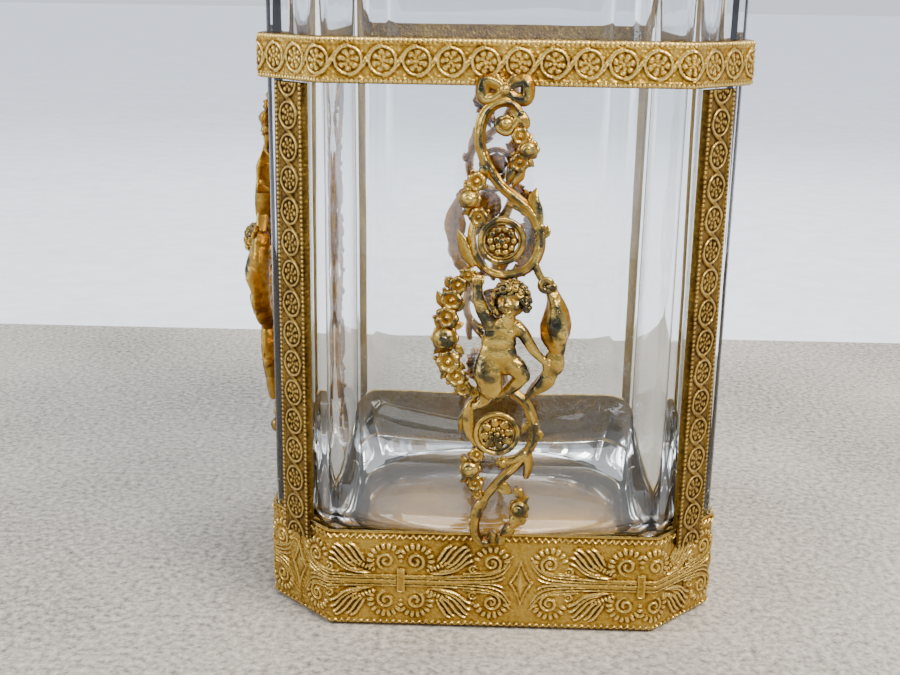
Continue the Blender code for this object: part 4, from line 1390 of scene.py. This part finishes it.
def lid_frame_shape():
    """The lid's rim: a moulding with a rounded top edge and an inner sill.

    A closed profile of (offset, height) points is carried round the glass's outline.
    """
    low, high = FRAME_LOW[2], FRAME_HIGH[2]
    proud = LID_PROUD
    sill, sill_top = proud - 6.0, low + 1.0
    opening = proud - 3.9
    bevel, groove, crown = 0.35, 0.12, 1.35
    profile = [(sill, low), (proud - bevel, low), (proud, low + bevel), (proud, high - 2.0),
               (proud - groove, high - 1.85), (proud - groove, high - 1.6),
               *arc((proud - crown, high - crown), crown, 10, 90, 8),
               (opening + 0.3, high), (opening, high - 0.3), (opening, sill_top),
               (sill, sill_top)]
    return grid(swept(profile, 480, 1.0), ring=True, loop=True)


def bead_row(offset, height, radius, pitch):
    """Small beads round the outline: one bar whose radius is a cosine of the way along."""
    path = Outline(offset, radius=1.0)
    beads = round(path.length / pitch)
    count = beads * 8
    points, out = path.at(np.arange(count) / count * path.length)
    phase = np.arange(count) / 8 * 2 * math.pi
    thick = radius * (0.62 + 0.38 * np.cos(phase))
    angle = circle_angles(8)
    reach = thick[:, None] * np.cos(angle)
    section = np.concatenate([
        points[:, None] + out[:, None] * reach[..., None],
        (height + thick[:, None] * np.sin(angle))[..., None]], -1)
    # The beads' fat parts are painted lighter and the necks between them darker: painted
    # highlight and shade.
    shade = 0.2 + 0.7 * (thick / radius)[:, None] + 0 * reach
    return grid(section, shade, ring=True, loop=True)


def pane_shape():
    """The bevelled pane: a rounded edge, a wide shallow bevel, flat in the middle.

    Its half profile is carried round the glass's outline and closed above and below.
    """
    low, high = PANE_LOW[2], PANE_HIGH[2]
    edge = PANE_HIGH[0] - HALF
    inside = edge - 20
    top = high - 0.6                    # of the edge, where the bevel starts
    bevel = 8.8
    near = 0.2                          # reach of each rounding
    profile = [(inside, low), (edge - 0.3, low), (edge - near, low), (edge, low + near),
               (edge, low + 0.3), (edge, top - 0.3), (edge, top - near), (edge - near, top),
               (edge - 2 * near, top + 0.02), (edge - bevel + near, high - 0.03),
               (edge - bevel, high), (edge - bevel - near, high), (inside, high)]
    return grid(swept(profile, GLASS_COLUMNS, 1.0), ring=True, caps=True)


def shell_shape():
    """The thumb piece: a small scallop shell standing on the lid's front edge.

    Its points fan out from the hinge of the shell by angle and share of the way to the rim,
    and bulge by one less the share squared, with seven ribs as a cosine of the angle.
    """
    count = 49
    angle = np.radians(np.linspace(-100, 100, count))[None]
    share = np.linspace(0.04, 1, 16)[:, None]
    half = THUMB_HIGH[0] * 0.98
    tall = (THUMB_HIGH[2] - THUMB_LOW[2]) * 0.62
    rib = 0.5 + 0.5 * np.cos(7 * angle * 1.8)
    x = half * share * np.sin(angle) * (0.94 + 0.06 * rib)
    z = THUMB_LOW[2] + 1.15 + tall * share * np.cos(angle) * (0.94 + 0.06 * rib)
    bulge = (1.5 * (1 - share ** 2) + 0.5 * rib * share * (1.15 - share)) + 0.4
    back = THUMB_HIGH[1] - 1.0
    front = np.stack([x, back - 0.35 - bulge, z], -1)
    rear = np.stack([x, np.full_like(x, back), z], -1)[::-1]
    # Ribs towards the rim are painted lighter than the furrows and the back: painted highlight
    # and shade.
    shade = np.concatenate([0.25 + 0.7 * rib * share, 0.3 + 0 * rib * share])
    rings = np.concatenate([front, rear])
    root, tip, knob_at = -38.9, -41.0, -42.1
    low = THUMB_LOW[2] + 0.6
    tongue = tube([(0, root, low), (0, tip, low)], (1.0, 0.9), sides=16, drawn=False)
    knob = ellipsoid((0, knob_at, low + 0.15), (0.62, 0.62, 0.62), 9, 16, 80)
    return joined([grid(rings, shade, ring=True, caps=True), tongue, knob])


# ---------------------------------------------------------------- operators

# Each mount's turn from the front, and each strap's corner from the front right one on.
MOUNTS = {"cherub_mount_front": 0, "cherub_mount_rear": 180, "cherub_mount_left": 270}
SIDES = ("front", "right", "rear", "left")
KEPT_SOLIDS = ("floor_plate", "hinge_leaf_body", "hinge_leaf_lid", "hinge_pin",
               "lid_retainer")
CORNERS = ("corner_strap_front_right", "corner_strap_rear_right",
           "corner_strap_rear_left", "corner_strap_front_left")


class BOX_OT_glass(bpy.types.Operator):
    """Make the thick vessel and the lid's bevelled pane"""
    bl_idname = "box.glass"
    bl_label = "Make glass"

    def execute(self, context):
        add_piece("glass_vessel", glass_shape(), pressed_glass(), "glass_body",
                  sharp=60)
        add_piece("bevelled_pane", pane_shape(), pressed_glass(), "lid_glass", "lid",
                  sharp=12)
        return {"FINISHED"}


class BOX_OT_pan(bpy.types.Operator):
    """Make the stamped pan in four sides and a floor"""
    bl_idname = "box.pan"
    bl_label = "Make pan"

    def execute(self, context):
        quarter = pan_quarter()
        path = Outline(PAN_PROUD, radius=PAN_CORNER).length
        for number, side in enumerate(SIDES):
            add_piece(f"pan_{side}", pan_side(quarter, path * number / 4), stamped_gilt(),
                      "base_pan", sharp=50)
        add_piece("pan_floor", pan_floor_shape(), plain_gilt(), "base_pan", sharp=40)
        return {"FINISHED"}


class BOX_OT_strips(bpy.types.Operator):
    """Make the stamped strips: band, rim collar and four corner straps"""
    bl_idname = "box.strips"
    bl_label = "Make strips"

    def execute(self, context):
        band = strip_ring(BAND_PROUD, BAND_CHAMFER, BAND_LOW[2], BAND_HIGH[2])
        add_piece("middle_band_relief", band, stamped_gilt(), "middle_band", sharp=55)
        low, high = COLLAR_LOW[2], COLLAR_HIGH[2]
        under = high - LIP_THICKNESS
        lip = ((-LIP_REACH, high), (-LIP_REACH, under), (GAP, under), (GAP, low))
        collar = strip_ring(BAND_PROUD, None, low, high, lip)
        add_piece("rim_collar_relief", collar, stamped_gilt(), "rim_collar", sharp=55)
        strap = strap_shape()
        for number, node in enumerate(CORNERS):
            add_piece(node.replace("corner_", "stamped_"), turned(strap, -135 + 90 * number),
                      aged_gilt(), node, sharp=55)
        return {"FINISHED"}


class BOX_OT_mounts(bpy.types.Operator):
    """Make the pierced, bowed mount with its child once, and set it on three sides"""
    bl_idname = "box.mounts"
    bl_label = "Make mounts"

    def execute(self, context):
        mount = depth_shaded(joined(garlands() + child_shapes()))
        for node, heading in MOUNTS.items():
            add_piece(node.replace("cherub_", "cast_"), turned(mount, heading),
                      cast_gilt(), node)
        return {"FINISHED"}


class BOX_OT_lid(bpy.types.Operator):
    """Make the lid's rim with its beads, and the shell thumb piece"""
    bl_idname = "box.lid"
    bl_label = "Make lid"

    def execute(self, context):
        beads = bead_row(LID_PROUD - 0.05, FRAME_LOW[2] + 1.5, 0.42, 1.05)
        add_piece("lid_rim", lid_frame_shape(), plain_gilt(), "lid_frame", "lid", sharp=35)
        add_piece("lid_beads", beads, stamped_gilt(), "lid_frame", "lid")
        add_piece("thumb_shell", shell_shape(), cast_gilt(), "thumb_piece", "lid", sharp=60)
        return {"FINISHED"}


class BOX_OT_finishes(bpy.types.Operator):
    """Give every solid that is kept as packed its finish"""
    bl_idname = "box.finishes"
    bl_label = "Finish kept solids"

    def execute(self, context):
        for node in KEPT_SOLIDS:
            materials = bpy.data.objects[node].data.materials
            materials.clear()
            materials.append(pale_plate() if node == "floor_plate" else plain_gilt())
        return {"FINISHED"}


def floor_finish(name, tone, grain_size, contrast, depth):
    """A matt, softly mottled surface with a fine speckle, for the mat and the floor."""
    finish, tree, shader = new_finish(name)
    place = add_node(tree, "TexCoord").outputs["Object"]
    cloud = add_node(tree, "TexNoise", {"Vector": place, "Scale": per_mm(60),
                                        "Detail": 4.0})
    grain = add_node(tree, "TexNoise", {"Vector": place, "Scale": per_mm(grain_size),
                                        "Detail": 3.0, "Roughness": 0.7})
    blend = add_node(tree, "Math", {0: cloud.outputs["Fac"], 1: 0.35,
                                    2: grain.outputs["Fac"]}, operation="MULTIPLY_ADD")
    shade = add_node(tree, "MapRange", {
        "Value": blend.outputs[0], "From Min": 0.45, "From Max": 0.9,
        "To Min": 1 - contrast, "To Max": 1 + contrast * 0.4})
    tint = add_node(tree, "VectorMath", {0: tone[:3], 1: shade.outputs[0]},
                    operation="MULTIPLY")
    tree.links.new(tint.outputs[0], shader.inputs["Base Color"])
    shader.inputs["Roughness"].default_value = 0.85
    bump = add_node(tree, "Bump", {"Height": grain.outputs["Fac"], "Strength": 0.5,
                                   "Distance": depth * MM})
    tree.links.new(bump.outputs[0], shader.inputs["Normal"])
    return finish


def stage_plane(name, low, high, height, finish):
    """A flat piece of the stage between two corners, in mm."""
    points = np.array([[[low[0], low[1], height], [high[0], low[1], height]],
                       [[low[0], high[1], height], [high[0], high[1], height]]], float)
    plane = bpy.data.objects.new(name, make_mesh(name, grid(points)))
    plane.data.materials.append(finish)
    bpy.context.scene.collection.objects.link(plane)


def stage_light(name, place, target, spread, power, tint):
    """A rectangular lamp of that spread in mm, aimed from its place at a target."""
    light = bpy.data.lights.new(name, "AREA")
    light.shape, light.size, light.size_y = "RECTANGLE", spread[0] * MM, spread[1] * MM
    light.energy = power
    light.color = linear(tint)[:3]
    lamp = bpy.data.objects.new(name, light)
    lamp.location = Vector(place) * MM
    aim = (Vector(target) - Vector(place)).to_track_quat("-Z", "Y")
    lamp.rotation_mode = "QUATERNION"
    lamp.rotation_quaternion = aim
    bpy.context.scene.collection.objects.link(lamp)


def soft_room():
    """Soft studio light: bright overhead, behind the box and along the horizon."""
    world = bpy.data.worlds.new("soft_room")
    world.use_nodes = True
    tree = world.node_tree
    way = add_node(tree, "TexCoord").outputs["Generated"]
    split = add_node(tree, "SeparateXYZ", {"Vector": way})
    high = add_node(tree, "MapRange", {
        "Value": split.outputs["Z"], "From Min": 0.05, "From Max": 0.75, "To Min": 0.0,
        "To Max": 0.75})
    behind = add_node(tree, "MapRange", {
        "Value": split.outputs["Y"], "From Min": -0.7, "From Max": 0.5, "To Min": 0.16,
        "To Max": 0.70})
    summed = add_node(tree, "Math", {0: high.outputs[0], 1: behind.outputs[0]})
    horizon = add_node(tree, "MapRange", {
        "Value": split.outputs["Z"], "From Min": 0.10, "From Max": 0.22, "To Min": 1.12,
        "To Max": 0.0})
    level = add_node(tree, "Math", {0: summed.outputs[0], 1: horizon.outputs[0]},
                     operation="MAXIMUM")
    back = tree.nodes["Background"]
    back.inputs["Color"].default_value = linear("#EAF0FB")
    tree.links.new(level.outputs[0], back.inputs["Strength"])
    return world


CAMERA_PLACE = (-3.2, -228.56, 104.82)
CAMERA_TURN = (1.335, 15.738, 0.90)     # heading, downward pitch and roll, in degrees
MAT_LOW, MAT_HIGH = (-330, -340), (330, 148)
FLOOR_REACH = 6000
FLOOR_DROP = 1.2                        # the floor lies this far under the mat
# Lamps: name, place, spread, power and tint.
LAMPS = (("key", (330, -260, 470), (300, 200), 4.5, "#FFF4E2"),
         ("side", (-560, -160, 380), (240, 420), 2.6, "#F2F6FF"),
         ("back", (80, 480, 420), (500, 240), 2.0, "#F4F6FF"))


class BOX_OT_stage(bpy.types.Operator):
    """Set the box on a mat and a pale floor, with soft light and a camera before it"""
    bl_idname = "box.stage"
    bl_label = "Make stage"

    def execute(self, context):
        scene = context.scene
        mat = floor_finish("sandy_mat", colours().floor, 1.3, 0.75, 0.45)
        pale = floor_finish("pale_floor", linear("#F3F6FC"), 12.0, 0.12, 0.1)
        glow = pale.node_tree.nodes["Principled BSDF"]
        glow.inputs["Emission Color"].default_value = linear("#DCE6F6")
        glow.inputs["Emission Strength"].default_value = 0.10
        stage_plane("pale floor", (-FLOOR_REACH, -FLOOR_REACH), (FLOOR_REACH, FLOOR_REACH),
                    -FLOOR_DROP, pale)
        stage_plane("mat", MAT_LOW, MAT_HIGH, 0.0, mat)
        for name, place, spread, power, tint in LAMPS:
            stage_light(name, place, (0, 0, 60), spread, power, tint)
        sun = bpy.data.lights.new("sky_glow", "SUN")
        sun.energy, sun.angle = 1.2, math.radians(40)
        sky = bpy.data.objects.new("sky_glow", sun)
        sky.rotation_euler = (math.radians(24), math.radians(18), 0)
        scene.collection.objects.link(sky)
        scene.world = soft_room()
        lens = bpy.data.cameras.new("camera")
        lens.lens, lens.sensor_width = 49.81, 36.0
        lens.clip_start, lens.clip_end = 0.01, 50.0
        camera = bpy.data.objects.new("camera", lens)
        heading, pitch, roll = map(math.radians, CAMERA_TURN)
        turn = (Matrix.Rotation(heading, 4, "Z") @ Matrix.Rotation(math.pi / 2 - pitch, 4, "X")
                @ Matrix.Rotation(roll, 4, "Z"))
        camera.matrix_world = Matrix.Translation(Vector(CAMERA_PLACE) * MM) @ turn
        scene.collection.objects.link(camera)
        scene.camera = camera
        return {"FINISHED"}


class BOX_PT_panel(bpy.types.Panel):
    """The box's sizes, colours and making steps"""
    bl_label = "Trinket Box"
    bl_idname = "BOX_PT_panel"
    bl_space_type = "VIEW_3D"
    bl_region_type = "UI"
    bl_category = "Trinket Box"

    def draw(self, context):
        for group in (context.scene.box_sizes, context.scene.box_colours):
            column = self.layout.column()
            for name in group.__annotations__:
                column.prop(group, name)
        for step in STEPS:
            self.layout.operator(step.bl_idname)


STEPS = (BOX_OT_glass, BOX_OT_pan, BOX_OT_strips, BOX_OT_mounts, BOX_OT_lid,
         BOX_OT_finishes, BOX_OT_stage)
CLASSES = (BoxSizes, BoxColours, *STEPS, BOX_PT_panel)


def register():
    """Register the classes and give the scene its sizes and colours."""
    for made in CLASSES:
        bpy.utils.register_class(made)
    bpy.types.Scene.box_sizes = bpy.props.PointerProperty(type=BoxSizes)
    bpy.types.Scene.box_colours = bpy.props.PointerProperty(type=BoxColours)


def unregister():
    """Take the sizes, colours and classes away again."""
    del bpy.types.Scene.box_colours
    del bpy.types.Scene.box_sizes
    for made in reversed(CLASSES):
        bpy.utils.unregister_class(made)


def main():
    """Make every piece and the stage."""
    register()
    bpy.ops.box.glass()
    bpy.ops.box.pan()
    bpy.ops.box.strips()
    bpy.ops.box.mounts()
    bpy.ops.box.lid()
    bpy.ops.box.finishes()
    bpy.ops.box.stage()


if __name__ == "__main__":
    main()
